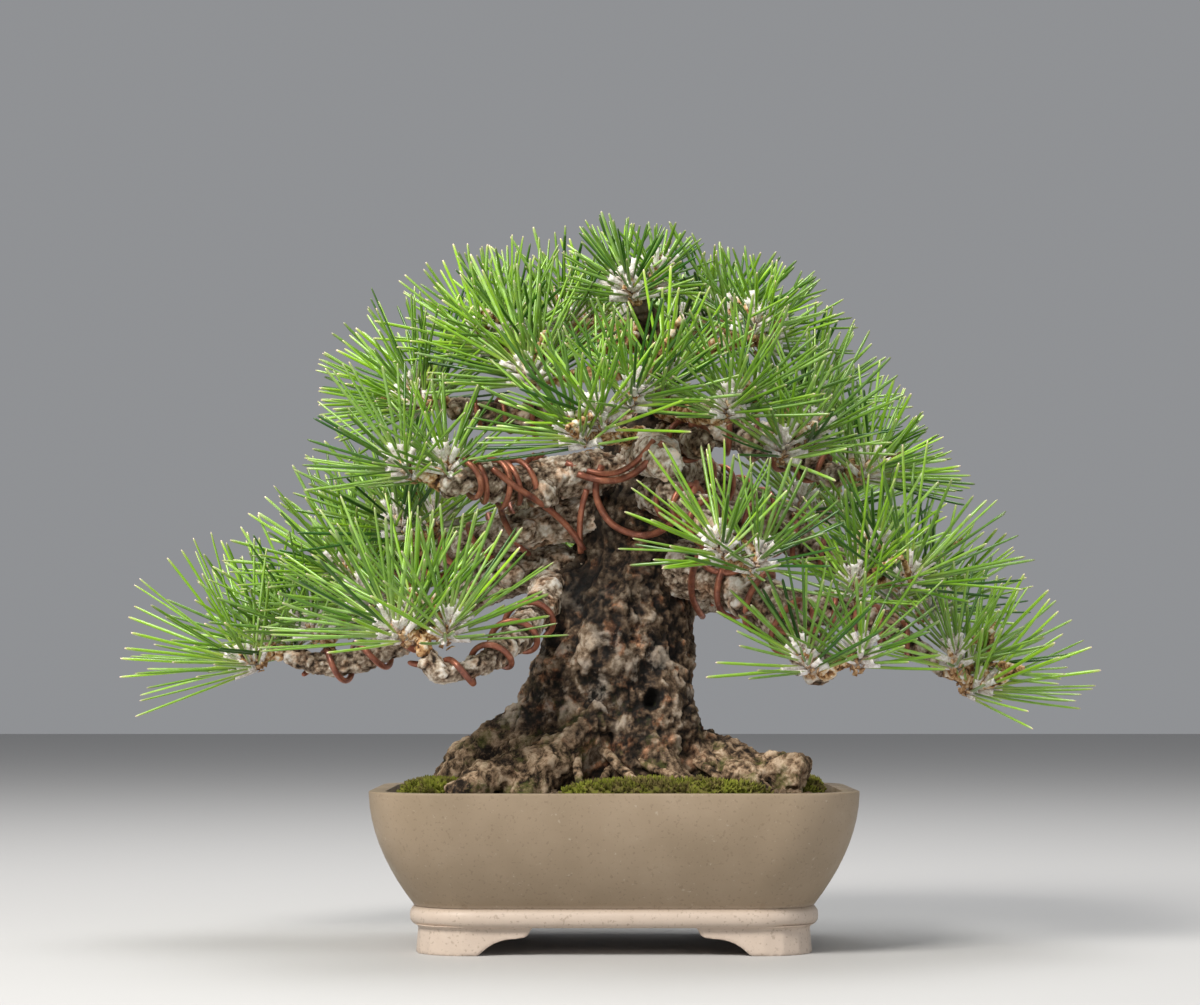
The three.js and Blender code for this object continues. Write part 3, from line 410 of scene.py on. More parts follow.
def makeCopper():
    n = Nodes("agedCopper")
    patina = n.ramp(
        n.noise(5, 5, 0.6), (0.3, (0.15, 0.056, 0.044)), (0.5, (0.36, 0.128, 0.078)),
        (0.7, (0.56, 0.22, 0.125)),
    )
    worn = n.patches(0.58, 0.7, 2.2, 3)
    patina = n.mix(n.times(worn, 0.4), patina, (0.6, 0.3, 0.21))
    rough = n.span(n.noise(3, 3), 0.3, 0.7, 0.34, 0.55)
    return n.finish(patina, rough, n.bump(n.noise(1.2, 3), 0.2, 0.1), metal=0.45, specular=0.5)


def makeSoil():
    n = Nodes("dampSoil")
    earth = n.ramp(
        n.noise(2.4, 6, 0.7), (0.3, (0.014, 0.009, 0.006)), (0.5, (0.05, 0.032, 0.019)),
        (0.68, (0.13, 0.088, 0.052)),
    )
    green = n.patches(0.5, 0.62, 12, 5, 0.65)
    earth = n.mix(n.times(green, 0.7), earth, (0.075, 0.085, 0.018))
    return n.finish(earth, 0.95, n.bump(n.noise(1.2, 5, 0.7), 0.8, 0.6), specular=0.2)


def makeMoss():
    n = Nodes("moss")
    along = n.number("along")
    moss = n.ramp(
        n.noise(4, 5, 0.65), (0.3, (0.11, 0.105, 0.024)), (0.46, (0.23, 0.26, 0.03)),
        (0.66, (0.44, 0.45, 0.085)),
    )
    brown = n.mix(n.noise(1.6, 3), (0.06, 0.04, 0.022), (0.2, 0.14, 0.07))
    patch = n.patches(0.45, 0.56, 8, 6, 0.75)
    moss = n.mix(n.times(patch, 0.85), moss, brown)
    # painted shade: each moss sprig is darker towards its foot and a little lighter at its tip
    paintedShadeAtFoot = n.ramp(along, (0.0, (0.3, 0.28, 0.22)), (0.8, (1.15, 1.15, 1.1)))
    moss = n.tinted(moss, paintedShadeAtFoot)
    return n.finish(moss, 0.9, n.bump(n.noise(0.7, 4), 0.5, 0.3), specular=0.2)


def mottled(name, grain, stops, rough, relief, **more):
    # One noise coloured by the stops and another as the relief: its size, detail, strength, distance.
    n = Nodes(name)
    if isinstance(rough, tuple):
        rough = n.span(n.noise(1.5, 3), 0.3, 0.7, *rough)
    bump = n.bump(n.noise(*relief[:2]), *relief[2:])
    return n.finish(n.ramp(n.noise(*grain), *stops), rough, bump, **more)


def makeAluminium():
    greys = ((0.3, (0.42, 0.42, 0.42)), (0.7, (0.62, 0.62, 0.61)))
    return mottled("softAluminium", (2.5, 4), greys, (0.3, 0.5), (0.9, 2, 0.2, 0.1), metal=0.9)


stoneware = makeStoneware()
trunkBark = makeTrunkBark()
branchBark = makeBranchBark("branchBark", 0.0)
stubBark = makeBranchBark("stubBark", 0.12)
twigBark = makeTwigBark()
needleGreen = makeNeedleGreen()
sheathPaper = mottled(
    "needleSheath", (1.1, 4, 0.6),
    ((0.3, (0.52, 0.43, 0.37)), (0.48, (0.78, 0.73, 0.69)), (0.62, (0.92, 0.9, 0.88))),
    0.7, (0.5, 3, 0.4, 0.15), specular=0.3,
)
budScale = makeBudScale()
agedCopper = makeCopper()
dampSoil = makeSoil()
soilGrit = mottled(
    "soilGrit", (2.6, 3, 0.6),
    ((0.32, (0.045, 0.028, 0.018)), (0.5, (0.15, 0.1, 0.062)), (0.68, (0.29, 0.22, 0.15))),
    0.9, (0.6, 4, 0.5, 0.2), specular=0.25,
)
blackMesh = mottled(
    "blackMesh", (2, 3), ((0.3, (0.01, 0.01, 0.01)), (0.7, (0.03, 0.029, 0.027))),
    (0.4, 0.65), (0.8, 2, 0.3, 0.1),
)
mossGreen = makeMoss()
print("stage: materials")


# Pot.
potLook = {
    "corner": 27 * mm, "cornerSteps": 12, "wall": 5.5 * mm, "footTop": 9 * mm,
    "bandHeight": 6.2 * mm, "bowlInset": 14.5 * mm, "bandProud": 1.3 * mm, "floor": 6 * mm,
    "wallSteps": 9, "rimRound": 1.1 * mm, "drainRadius": 8.5 * mm, "drainOffset": 37 * mm,
    "footSoftness": 0.55 * mm,
    "belly": 1.9,  # how late the wall turns in
    # how far the band stands out, as a share of bandProud, and how far down its height
    "band": ((-0.35, 0.0), (0.55, 0.12), (0.95, 0.28), (1.1, 0.5), (0.95, 0.74), (0.4, 0.92), (-0.5, 1.0)),
}


def makePot(look):
    halfX, halfY = (potHigh.x - potLow.x) / 2, (potHigh.y - potLow.y) / 2
    middle = Vector((potMiddle.x, potMiddle.y, 0))
    bowlFoot = look["footTop"] + look["bandHeight"]

    def insetAt(z):
        drop = (rimZ - z) / (rimZ - bowlFoot)
        return look["bowlInset"] * min(max(drop, 0), 1) ** look["belly"]

    deselectAll()
    slab = 1.0 * mm
    bpy.ops.mesh.primitive_cube_add(
        size=1, location=middle + Vector((0, 0, rimZ - slab / 2)), scale=(2 * halfX, 2 * halfY, slab)
    )
    bowl = bpy.context.active_object
    bowl.name = "potStoneware"
    placeInMesh(bowl)
    editing(bowl, "DESELECT")
    selectWhere(bowl, "EDGE", lambda a, b: (a.xy - b.xy).length < 1e-6)  # the four upright corners
    bpy.ops.mesh.bevel(offset=look["corner"], segments=look["cornerSteps"], affect="EDGES")

    state = {"inset": 0.0, "z": rimZ - slab}

    def draw(inset, z):  # extrudes the selected end face to a new inset and height
        sizes = [(half - inset) / (half - state["inset"]) for half in (halfX, halfY)]
        bpy.ops.mesh.extrude_region_move(TRANSFORM_OT_translate={"value": (0, 0, z - state["z"])})
        bpy.ops.transform.resize(value=(*sizes, 1), center_override=(middle.x, middle.y, z))
        state.update(inset=inset, z=z)

    selectWhere(bowl, "FACE", lambda centre, normal: normal.z < -0.9)
    steps = look["wallSteps"]
    for i in range(1, steps + 1):
        z = rimZ - slab + (bowlFoot - rimZ + slab) * i / steps
        draw(insetAt(z), z)
    for share, drop in look["band"]:
        z = bowlFoot - look["bandHeight"] * drop - 0.02 * mm
        draw(look["bowlInset"] - look["bandProud"] * share, z)
    selectWhere(bowl, "FACE", lambda centre, normal: normal.z > 0.9 and centre.z > rimZ - 0.1 * mm)
    bpy.ops.mesh.inset(thickness=look["wall"])
    state.update(inset=look["wall"], z=rimZ)
    floorTop = bowlFoot + look["floor"]
    for i in range(1, steps + 1):
        z = rimZ + (floorTop - rimZ) * i / steps
        draw(insetAt(z) + look["wall"], z)
    doneEditing()
    for side in (-1, 1):  # drain holes
        place = middle + Vector((side * look["drainOffset"], 0, 15 * mm))
        bpy.ops.mesh.primitive_cylinder_add(
            vertices=32, radius=look["drainRadius"], depth=30 * mm, location=place
        )
        drill = bpy.context.active_object
        applied(bowl, "BOOLEAN", operation="DIFFERENCE", object=drill, solver="EXACT")
        bpy.data.objects.remove(drill)
    rounding = {"width": look["rimRound"], "segments": 3, "angle_limit": math.radians(50)}
    applied(bowl, "BEVEL", limit_method="ANGLE", **rounding)

    feet = mergedCopy("pot", "potFeet")
    editing(feet)
    bpy.ops.mesh.bisect(
        plane_co=(0, 0, look["footTop"] + 0.5 * mm), plane_no=(0, 0, 1), use_fill=True, clear_outer=True
    )
    doneEditing()
    remeshed(feet, look["footSoftness"], 4, 0.5)
    makeActive(bowl)
    feet.select_set(True)
    bpy.ops.object.join()
    bpy.ops.object.shade_smooth_by_angle(angle=math.radians(38))
    showAs(bowl, stoneware, "stoneware", "pot", smooth=False)


makePot(potLook)
print("stage: pot")


# Bark.
def evened(values):  # spreads the values from 0 to 1, a few at each end cut off
    low, high = np.percentile(values, (3, 97))
    return np.clip((np.asarray(values) - low) / (high - low), 0, 1)


def roughen(piece, look, seed, rootShare=None):
    # Works the skin in and out: slow swellings, ragged fissures, loose scales and fine grit.
    mesh = piece.data
    points, normals = pointArray(mesh), pointArray(mesh, "normal")
    offset = Vector((seed * 7.3, seed * 3.1, seed * 5.7))
    swells, fissures, scales, steps, grits = [], [], [], [], []
    for x, y, z in points / mm:
        place = Vector((x, y, z)) + offset
        warped = place + noise.noise_vector(place / look["warpSize"]) * look["warp"]
        tall = Vector((warped.x, warped.y, warped.z / look["stretch"]))
        near, sites = noise.voronoi(tall / look["plate"])
        swells.append(noise.fractal(place / look["swellSize"], 0.9, 2.0, 3))
        fissures.append(-noise.ridged_multi_fractal(tall / look["fissure"], 0.9, 2.1, 4, 1.0, 2.0))
        scales.append(min(near[1] - near[0], 0.4))
        steps.append(noise.cell(sites[0] * 3.7 + offset))
        grits.append(noise.fractal(place / look["grit"], 0.7, 2.1, 3))
    fissures, scales = evened(fissures), evened(scales)
    steps, grits = evened(steps), evened(grits)
    rough = np.ones(len(points)) if rootShare is None else 1 - 0.3 * rootShare(points)
    rise = look["swell"] * np.array(swells) + look["grow"]
    rise += rough * look["depth"] * (fissures - 0.75)
    rise += rough * (look["scale"] * (scales - 0.6) + look["step"] * (steps - 0.5) * scales)
    rise += look["rub"] * (grits - 0.5)
    setPoints(mesh, points + normals * rise[:, None] * mm)
    relief = 0.42 * fissures + 0.2 * scales + 0.16 * steps + 0.22 * grits
    keepNumber(mesh, "relief", evened(relief))
    if rootShare:
        keepNumber(mesh, "root", rootShare(points))


def tube(name, stations, sides=4):  # a rounded tube through [x, y, z, radius] stations in mm
    curve = bpy.data.curves.new(name, "CURVE")
    curve.dimensions = "3D"
    curve.bevel_depth = mm
    curve.bevel_resolution = sides
    curve.resolution_u = 6
    curve.use_fill_caps = True
    line = curve.splines.new("NURBS")
    line.points.add(len(stations) - 1)
    line.use_endpoint_u = True
    line.order_u = 4
    for point, (x, y, z, radius) in zip(line.points, stations):
        point.co = (x * mm, y * mm, z * mm, 1)
        point.radius = radius
    piece = bpy.data.objects.new(name, curve)
    bpy.context.collection.objects.link(piece)
    makeActive(piece)
    bpy.ops.object.convert(target="MESH")
    piece = bpy.context.active_object
    piece.data.name = name
    editing(piece)
    bpy.ops.mesh.remove_doubles(threshold=0.01 * mm)
    bpy.ops.mesh.normals_make_consistent(inside=False)
    doneEditing()
    return piece


def joinedInto(piece, others):
    makeActive(piece)
    for other in others:
        other.select_set(True)
    bpy.ops.object.join()
    return piece


def besidePot(x, y, z, radius):  # from the middle of the pot at table height to the scene
    return [x + potMiddle.x / mm, y + potMiddle.y / mm, z, radius]


def tubes(name, plans, sides=4):
    return [tube(name, [besidePot(*station) for station in plan], sides) for plan in plans]


twigLook = {
    "plate": 2.0, "stretch": 1.0, "warp": 1.2, "warpSize": 2.6, "fissure": 4, "swell": 0.9,
    "swellSize": 5, "depth": 0.6, "scale": 0.25, "step": 0.5, "grit": 1.0, "rub": 0.35,
    "grow": 0.75,
}

trunkLook = {
    "voxel": 0.75 * mm, "plate": 4.6, "stretch": 1.5, "warp": 4.2, "warpSize": 5.5, "fissure": 9,
    "swell": 2.3, "swellSize": 15, "depth": 1.5, "scale": 0.55, "step": 1.1, "grit": 1.7,
    "rub": 0.7, "grow": 0.35, "rootReach": (23, 34), "rootHeight": (24, 12),
    # swellings and surface roots worked into the trunk, from the middle of the pot at table height
    "strands": [
        [(-6, -4, 122, 11), (-9, -6, 108, 13), (-13, -7, 92, 14), (-19, -8, 74, 15), (-24, -8, 60, 13)],
        [(-12, 0, 84, 12), (-30, -4, 68, 12.5), (-47, -8, 59, 10.5), (-54, -10, 52, 7)],
        [(-4, -20, 78, 7), (-14, -25, 68, 6.5), (-27, -30, 62, 6), (-40, -35, 58, 5.5), (-53, -41, 51, 4.5)],
        [(-18, -27, 64, 6), (-27, -34, 60, 5), (-30, -38, 54, 4), (-31, -41, 48, 4)],
        [(6, -16, 74, 8), (14, -21, 66, 7.5), (20, -24, 58, 5), (22, -26, 50, 4)],
        [(4, -12, 98, 9), (8, -15, 86, 10), (12, -14, 74, 8)],
        [(-8, -12, 90, 8), (-4, -16, 78, 8), (-6, -18, 66, 6)],
        [(50, -14, 58.5, 5.5), (56, -16, 58, 6.3), (60, -17, 57, 6.4), (62.5, -17.5, 56.5, 5.6)],
        [(30, -14, 62, 5), (42, -20, 58, 4), (52, -27, 51, 3)],
        [(20, -12, 78, 7), (25, -10, 66, 7), (28, -12, 54, 7)],
    ],
    "knotHole": (12.5, -24, 82, 2.9, 4.5),  # place beside the pot's middle, radius, depth
}


def knotHole(piece, x, y, z, radius, depth):  # pushes the bark in, along +Y, and darkens the pit as painted shade
    middle = besidePot(x, y, z, 0)
    points = pointArray(piece.data) / mm
    away = np.hypot(points[:, 0] - middle[0], (points[:, 2] - middle[2]) * 0.8) / radius
    share = np.clip(1.2 - away**2, 0, 1) ** 1.5 * (points[:, 1] < middle[1] + 10)
    points[:, 1] += depth * share
    relief = np.empty(len(points), np.float32)
    piece.data.attributes["relief"].data.foreach_get("value", relief)
    setPoints(piece.data, points * mm)
    # painted shade: the relief drops in the pit, so the bark colour there goes near black
    keepNumber(piece.data, "relief", relief - 2.2 * share)


def makeTrunk(look):
    piece = mergedCopy("trunk", "trunkWood")
    joinedInto(piece, tubes("strand", look["strands"]))
    remeshed(piece, look["voxel"], 6)

    def rootShare(points):  # 1 out on the roots, 0 on the trunk
        near, far = look["rootReach"]
        high, low = look["rootHeight"]
        away = np.hypot(points[:, 0] - potMiddle.x - 4 * mm, points[:, 1] - potMiddle.y + 2 * mm) / mm
        above = (points[:, 2] - rimZ) / mm
        out = np.clip((away - near) / (far - near), 0, 1)
        return out * np.clip((high - above) / (high - low), 0, 1)

    roughen(piece, look, 1, rootShare)
    knotHole(piece, *look["knotHole"])
    showAs(piece, trunkBark, "trunk_bark", "trunk")


makeTrunk(trunkLook)

fineRootLook = {
    "bark": {**twigLook, "swell": 0.2, "depth": 0.2, "scale": 0.1, "step": 0.1, "rub": 0.15},
    "paths": [  # from the middle of the pot at table height
        [(-4, -20, 66, 1.1), (-1, -28, 63.5, 1), (2, -32, 59, 0.9), (6, -36, 57.5, 0.8), (9, -44, 52, 0.6)],
        [
            (6, -20, 64, 0.8), (10, -29, 60.5, 0.7), (16, -34, 58.5, 0.6), (22, -38, 57, 0.5),
            (27, -44, 52, 0.4),
        ],
        [(-12, -26, 64, 0.9), (-13, -34, 59, 0.8), (-10, -38, 56, 0.6), (-12, -44, 51, 0.5)],
        [(0, -22, 60, 0.7), (-4, -31, 58, 0.6), (-3, -37, 56, 0.5), (-7, -44, 51, 0.4)],
        [(26, -14, 62, 0.9), (32, -24, 59.5, 0.8), (36, -29, 56, 0.7), (38, -36, 50, 0.5)],
    ],
}


def makeFineRoots(look):
    paths = tubes("fineRoots", look["paths"], 3)
    piece = joinedInto(paths[0], paths[1:])
    piece.name = "fineRoots"
    roughen(piece, look["bark"], 80)
    keepNumber(piece.data, "root", np.ones(len(piece.data.vertices)))
    showAs(piece, trunkBark, "trunk_bark")


makeFineRoots(fineRootLook)
print("stage: trunk")

branchLook = {
    "voxel": 0.56 * mm, "plate": 2.9, "stretch": 1.0, "warp": 2.2, "warpSize": 3.4, "fissure": 6,
    "swell": 0.9, "swellSize": 8, "depth": 0.75, "scale": 0.3, "step": 0.55, "grit": 1.2,
    "rub": 0.4, "grow": 0.4,
    # the swollen foot of each branch and its knots, from the middle of the pot at table height
    "feet": {
        "branch_low_left": [(4, 2, 118, 10), (-12, 3, 123, 10), (-24, 3, 126, 9)],
        "branch_low_left_front": [(-14, 4, 122, 8), (-21, -3, 120, 7), (-23, -12, 116, 6.2)],
        "branch_mid_left": [(6, 0, 145, 10), (-8, -2, 144, 9), (-20, -6, 142, 7.4)],
        "branch_mid_left_front": [(6, -2, 159, 9), (-8, -7, 158, 8.2), (-23, -13, 155.5, 6.8)],
        "branch_high_left": [(12, 2, 172, 7), (0, 6, 175, 6.4), (-14, 8, 176, 5.4)],
        "branch_low_right": [(8, 0, 128, 11), (22, -7, 127, 10), (34, -13, 123, 9.2)],
        "branch_low_right_outer": [(40, -18, 118, 7), (52, -18, 115, 6.2), (62, -11, 113, 5.4)],
        "branch_front_right": [(10, -2, 150, 9), (15, -14, 150, 7.6), (20, -26, 149, 6.2)],
        "branch_mid_right": [(8, 3, 172, 9), (22, 3, 175, 8), (33, 2, 174.5, 7.4)],
        "branch_mid_right_lower": [(6, 3, 142, 9), (22, 10, 144, 7.6), (34, 15, 144.5, 6.8)],
        "branch_back_right": [(8, 2, 158, 9), (16, 18, 160, 7.4), (25, 34, 162, 6.2)],
        "branch_back_left": [(8, 2, 150, 9), (-6, 20, 151, 7.6), (-19, 36, 151.5, 6.4)],
        "branch_back": [(6, 2, 132, 10), (9, 24, 134, 7.4), (10, 40, 134.5, 6.3)],
        "branch_back_low_right": [(8, 2, 118, 10), (24, 16, 119, 8), (40, 29, 119.5, 6.6)],
        "stub_front": [(9, 0, 166, 9), (12, -16, 164, 7.6), (15, -28, 162, 6.8)],
    },
    "knots": {
        "branch_mid_left": [[(-28, -9, 139, 4), (-30, -13, 137, 4.6), (-30, -15, 136.5, 3.4)]],
        "branch_mid_left_front": [
            [(-22, -16, 152, 5), (-24, -21, 149, 5), (-24, -23, 148.5, 3.6)],
            [(-12, -12, 160, 5), (-12, -17, 160, 4.4), (-12, -19, 160, 3)],
        ],
        "branch_low_left": [[(-34, 0, 124, 5), (-35, -5, 124, 5), (-35, -7, 124, 3.6)]],
        "branch_low_right": [[(43, -25, 114, 5), (43, -30, 113, 4.6), (43, -31, 113, 3.4)]],
        "branch_mid_right": [
            [(46, 0, 170, 5), (46, -6, 168, 4.6), (46, -8, 167.5, 3.4)],
            [(18, -4, 170, 6), (24, -16, 168, 5), (29, -25, 166.5, 4.8), (30, -28, 166, 4.3)],
        ],
        "branch_front_right": [[(20, -30, 151, 5), (19, -36, 149, 4.8), (18.5, -38, 148.5, 3.8)]],
    },
}


def makeBranches(look):
    for number, node in enumerate(nodesNamed("branch", "stub")):
        kind, *words = node.split("_")
        piece = mergedCopy(node, kind + titled(words) + "Wood")
        swellings = [look["feet"][node], *look["knots"].get(node, [])]
        joinedInto(piece, tubes("swelling", swellings))
        remeshed(piece, look["voxel"], 6)
        roughen(piece, look, number + 2)
        showAs(piece, stubBark if kind == "stub" else branchBark, "branch_bark", node)


makeBranches(branchLook)
print("stage: branches")

# Wires.
def frameOf(direction, roll):
    z = direction.normalized()
    side = z.orthogonal().normalized()
    x = side * math.cos(roll) + z.cross(side) * math.sin(roll)
    return x, z.cross(x), z


wireLook = {"rounding": 2, "fatten": 0.42 * mm, "flat": math.radians(70)}


def makeWires(look):
    for node in nodesNamed("wire"):
        piece = mergedCopy(node, titled(node.split("_")[1:]) + "Wire")
        editing(piece)
        bpy.ops.mesh.tris_convert_to_quads(face_threshold=look["flat"], shape_threshold=look["flat"])
        doneEditing()
        applied(piece, "SUBSURF", levels=look["rounding"], render_levels=look["rounding"])
        setPoints(piece.data, pointArray(piece.data) + pointArray(piece.data, "normal") * look["fatten"])
        showAs(piece, agedCopper, "copper_wire", node)


makeWires(wireLook)
print("stage: wires")

# more copper wire: wound round a limb, or laid across the front of the wood
extraWireLook = {
    "wound": [  # limb stations, turns, starting angle, wire radius
        ([(17, -20, 149.5, 6.2), (25, -37, 145, 5.5), (33, -52, 135, 4.6)], 3.4, 1.0, 1.1),
        ([(-14, 8, 176.5, 5.2), (-28, 9, 178, 4.7), (-48, 7, 180.5, 3.7)], 4.2, 0.4, 0.95),
        ([(66, -9, 112.5, 5.2), (83, -3, 110.5, 4.5), (103, -8, 99, 3.4)], 4.6, 2.2, 0.95),
        ([(44, 18, 142.5, 6.4), (60, 18, 137, 5.5), (78, 6, 128, 4.6)], 4.0, 0.0, 1.0),
        ([(-26, -18, 155.5, 6.6), (-38, -22, 153.5, 6.3), (-48, -29, 155, 5.6)], 2.0, 2.4, 0.95),
        ([(21, -12, 169.5, 5.6), (27, -23, 167, 5.2)], 1.6, 0.6, 1.0),
        ([(30, 40, 161, 6.0), (46, 56, 154.5, 5.1), (64, 64, 146, 3.9)], 4.4, 1.0, 0.95),
        ([(-24, 42, 150.5, 6.0), (-42, 56, 142.5, 4.8), (-60, 62, 134, 3.6)], 4.4, 1.0, 0.95),
    ],
    "laid": [  # x and z from the middle of the pot at table height, wire radius
        (
            [
                (-4, 160), (-7, 153), (-5, 146), (-1, 140), (5, 137), (12, 136), (19, 139), (25, 146),
                (27, 153),
            ],
            1.2,
        ),
        ([(-40, 158), (-34, 153), (-28, 149.5), (-21, 145), (-14, 139), (-10, 132)], 1.1),
        ([(-9, 152), (-11, 146), (-12, 140), (-11, 131)], 1.05),
        ([(-12, 157), (-4, 154), (5, 154), (11, 159), (16, 166)], 1.15),
        ([(-16, 161), (-6, 156.5), (3, 156), (9, 161), (13, 167)], 1.0),
        ([(31, 134), (27, 129), (25, 123), (26, 114), (30, 110)], 1.15),
        ([(27, 132), (29, 126), (35, 123), (42, 124), (46, 129)], 1.05),
    ],
}


def woundPath(stations, turns, angle, radius, clear=0.45, stepsATurn=11):
    points = [Vector(besidePot(*s)[:3]) for s in stations]
    sizes = [s[3] for s in stations]
    steps = int(turns * stepsATurn)
    path = []
    for i in range(steps + 1):
        along = i / steps * (len(points) - 1)
        k = min(int(along), len(points) - 2)
        share = along - k
        middle = points[k].lerp(points[k + 1], share)
        size = sizes[k] + (sizes[k + 1] - sizes[k]) * share + radius + clear
        x, y, z = frameOf(points[-1] - points[0], angle + 2 * math.pi * turns * i / steps)
        path.append((*(middle + x * size), radius))
    return path


def laidPath(places, radius, wood):
    # Each point is carried from the front back to the first wood there; the wire spans the hollows.
    depths = []
    for x, z in places:
        start = Vector(besidePot(x, -100, z, 0)[:3]) * mm
        hits = [tree.ray_cast(start, Vector((0, 1, 0)))[0] for tree in wood]
        hits = [hit.y / mm for hit in hits if hit and hit.y < potMiddle.y + 8 * mm]
        depths.append(min(hits) if hits else None)
    known = [depth for depth in depths if depth is not None]
    depths = [depth if depth is not None else max(known) for depth in depths]
    path = []
    for i, (x, z) in enumerate(places):
        near = depths[max(i - 1, 0) : i + 2]
        px, py, pz, r = besidePot(x, 0, z, radius)
        path.append((px, 0.6 * min(near) + 0.4 * depths[i] - radius - 0.3, pz, radius))
    return path


def makeExtraWires(look):
    graph = bpy.context.evaluated_depsgraph_get()
    wood = [BVHTree.FromObject(p, graph) for p in bpy.data.objects if p.name.endswith("Wood")]
    pieces = [tube("woundWire", woundPath(*plan), 2) for plan in look["wound"]]
    pieces += [tube("laidWire", laidPath(places, radius, wood), 2) for places, radius in look["laid"]]
    piece = joinedInto(pieces[0], pieces[1:])
    piece.name = "looseWires"
    showAs(piece, agedCopper, "copper_wire")


makeExtraWires(extraWireLook)

# Shoots: twigs, buds, sheaths and needles.
shootLook = {
    "twigVoxel": 0.45 * mm,
    "budDepth": 1.83 * mm,  # a bud's middle lies this far under the foot of its spikes
    "pairs": 22,  # needle pairs on a bud, leaning from narrowest to widest
    "leanPower": 0.62,
    "thinnedPairs": 17,  # on the right side, which was thinned out
    "thinnedFrom": 42 * mm,  # to the right of the pot's middle
    "widest": 1.5, "narrowest": 0.1, "length": (0.8, 1.0), "radius": 0.54 * mm,
    "lift": 0.3,  # turns the buds a little more upright
    "split": 0.11,  # how far the two needles of a pair part
    "bend": 0.1,
    "collar": 8.5 * mm,  # needles leave the twig over this length
    "sheath": (4.5 * mm, 8.5 * mm), "sheathRadius": 1.02 * mm,
    "level": 0.05, "droop": 0.3,  # a needle flatter than this keeps a share of its downward lean
    "margin": 0.6 * mm, "shortest": 12 * mm,
    "sharp": 0.5,  # a spike's tip: all its corners together, in radians
    "oneBud": 1.0 * mm, "offBud": 1.4 * mm,  # how near the spikes of one bud point to its middle
    "tint": (0.42, 0.08), "pairTint": 0.22,
    "crownFoot": 15, "crownDepth": 150, "ragged": 1.2,
    "crown": [
        (-184, 42), (-160, 74), (-140, 98), (-126, 117), (-108, 134), (-80, 170), (-44, 189), (-6, 195),
        (29, 186), (68, 173), (88, 150), (111, 112), (148, 74), (161, 54), (174, 20),
    ],
}

budLook = {
    "scales": 42, "long": 13 * mm, "sunk": 9 * mm, "radius": 2.15 * mm, "scale": (0.8 * mm, 1.25 * mm),
    "open": (0.15, 0.75),
}

goldenTurn = math.pi * (3 - math.sqrt(5))


def templateOf(piece):  # the points and faces of a modelled piece, which then goes
    mesh = piece.data
    points = pointArray(mesh)
    faces = [tuple(polygon.vertices) for polygon in mesh.polygons]
    bpy.data.objects.remove(piece)
    return points, faces


def drawnOut(sides, radius, flatness, rings):
    # A short stem pulled up out of a circle; a ring is its height and how much it widens.
    deselectAll()
    bpy.ops.mesh.primitive_circle_add(vertices=sides, radius=radius, fill_type="NGON")
    piece = bpy.context.active_object
    bpy.ops.object.mode_set(mode="EDIT")
    bpy.ops.mesh.select_all(action="SELECT")
    bpy.ops.transform.resize(value=(1, flatness, 1), center_override=(0, 0, 0))
    height = 0.0
    for top, taper in rings:
        bpy.ops.mesh.extrude_region_move(TRANSFORM_OT_translate={"value": (0, 0, top - height)})
        bpy.ops.transform.resize(value=(taper, taper, 1), center_override=(0, 0, top))
        height = top
    bpy.ops.mesh.select_all(action="SELECT")
    bpy.ops.mesh.normals_make_consistent(inside=False)
    doneEditing()
    return templateOf(piece)


def modelScale():
    # A bud's scale: a small curled leaf, thick enough to be closed.
    deselectAll()
    bpy.ops.mesh.primitive_cube_add(size=1, location=(0, 0, 0.5), scale=(1, 0.16, 1))
    piece = bpy.context.active_object
    placeInMesh(piece)
    editing(piece, "DESELECT")
    selectWhere(piece, "FACE", lambda centre, normal: normal.z > 0.9)
    bpy.ops.transform.resize(value=(0.75, 0.9, 1), center_override=(0, 0, 1))
    bpy.ops.mesh.extrude_region_move(TRANSFORM_OT_translate={"value": (0, -0.22, 0.5)})
    bpy.ops.transform.resize(value=(0.18, 0.5, 1), center_override=(0, -0.22, 1.5))
    doneEditing()
    return templateOf(piece)


# one unit long and one wide: a needle drawn out to a short point, and a sleeve ragged at its mouth
needleRings = ((0.12, 1.08), (0.35, 1.02), (0.62, 0.97), (0.88, 0.93), (0.975, 0.85), (1.0, 0.5))
sheathRings = ((0.3, 1.3), (0.75, 1.05), (1.0, 1.12), (0.88, 0.6))
needleShape = drawnOut(5, 1, 0.72, needleRings)
sheathShape = drawnOut(6, 0.75, 1, sheathRings)
scaleShape = modelScale()


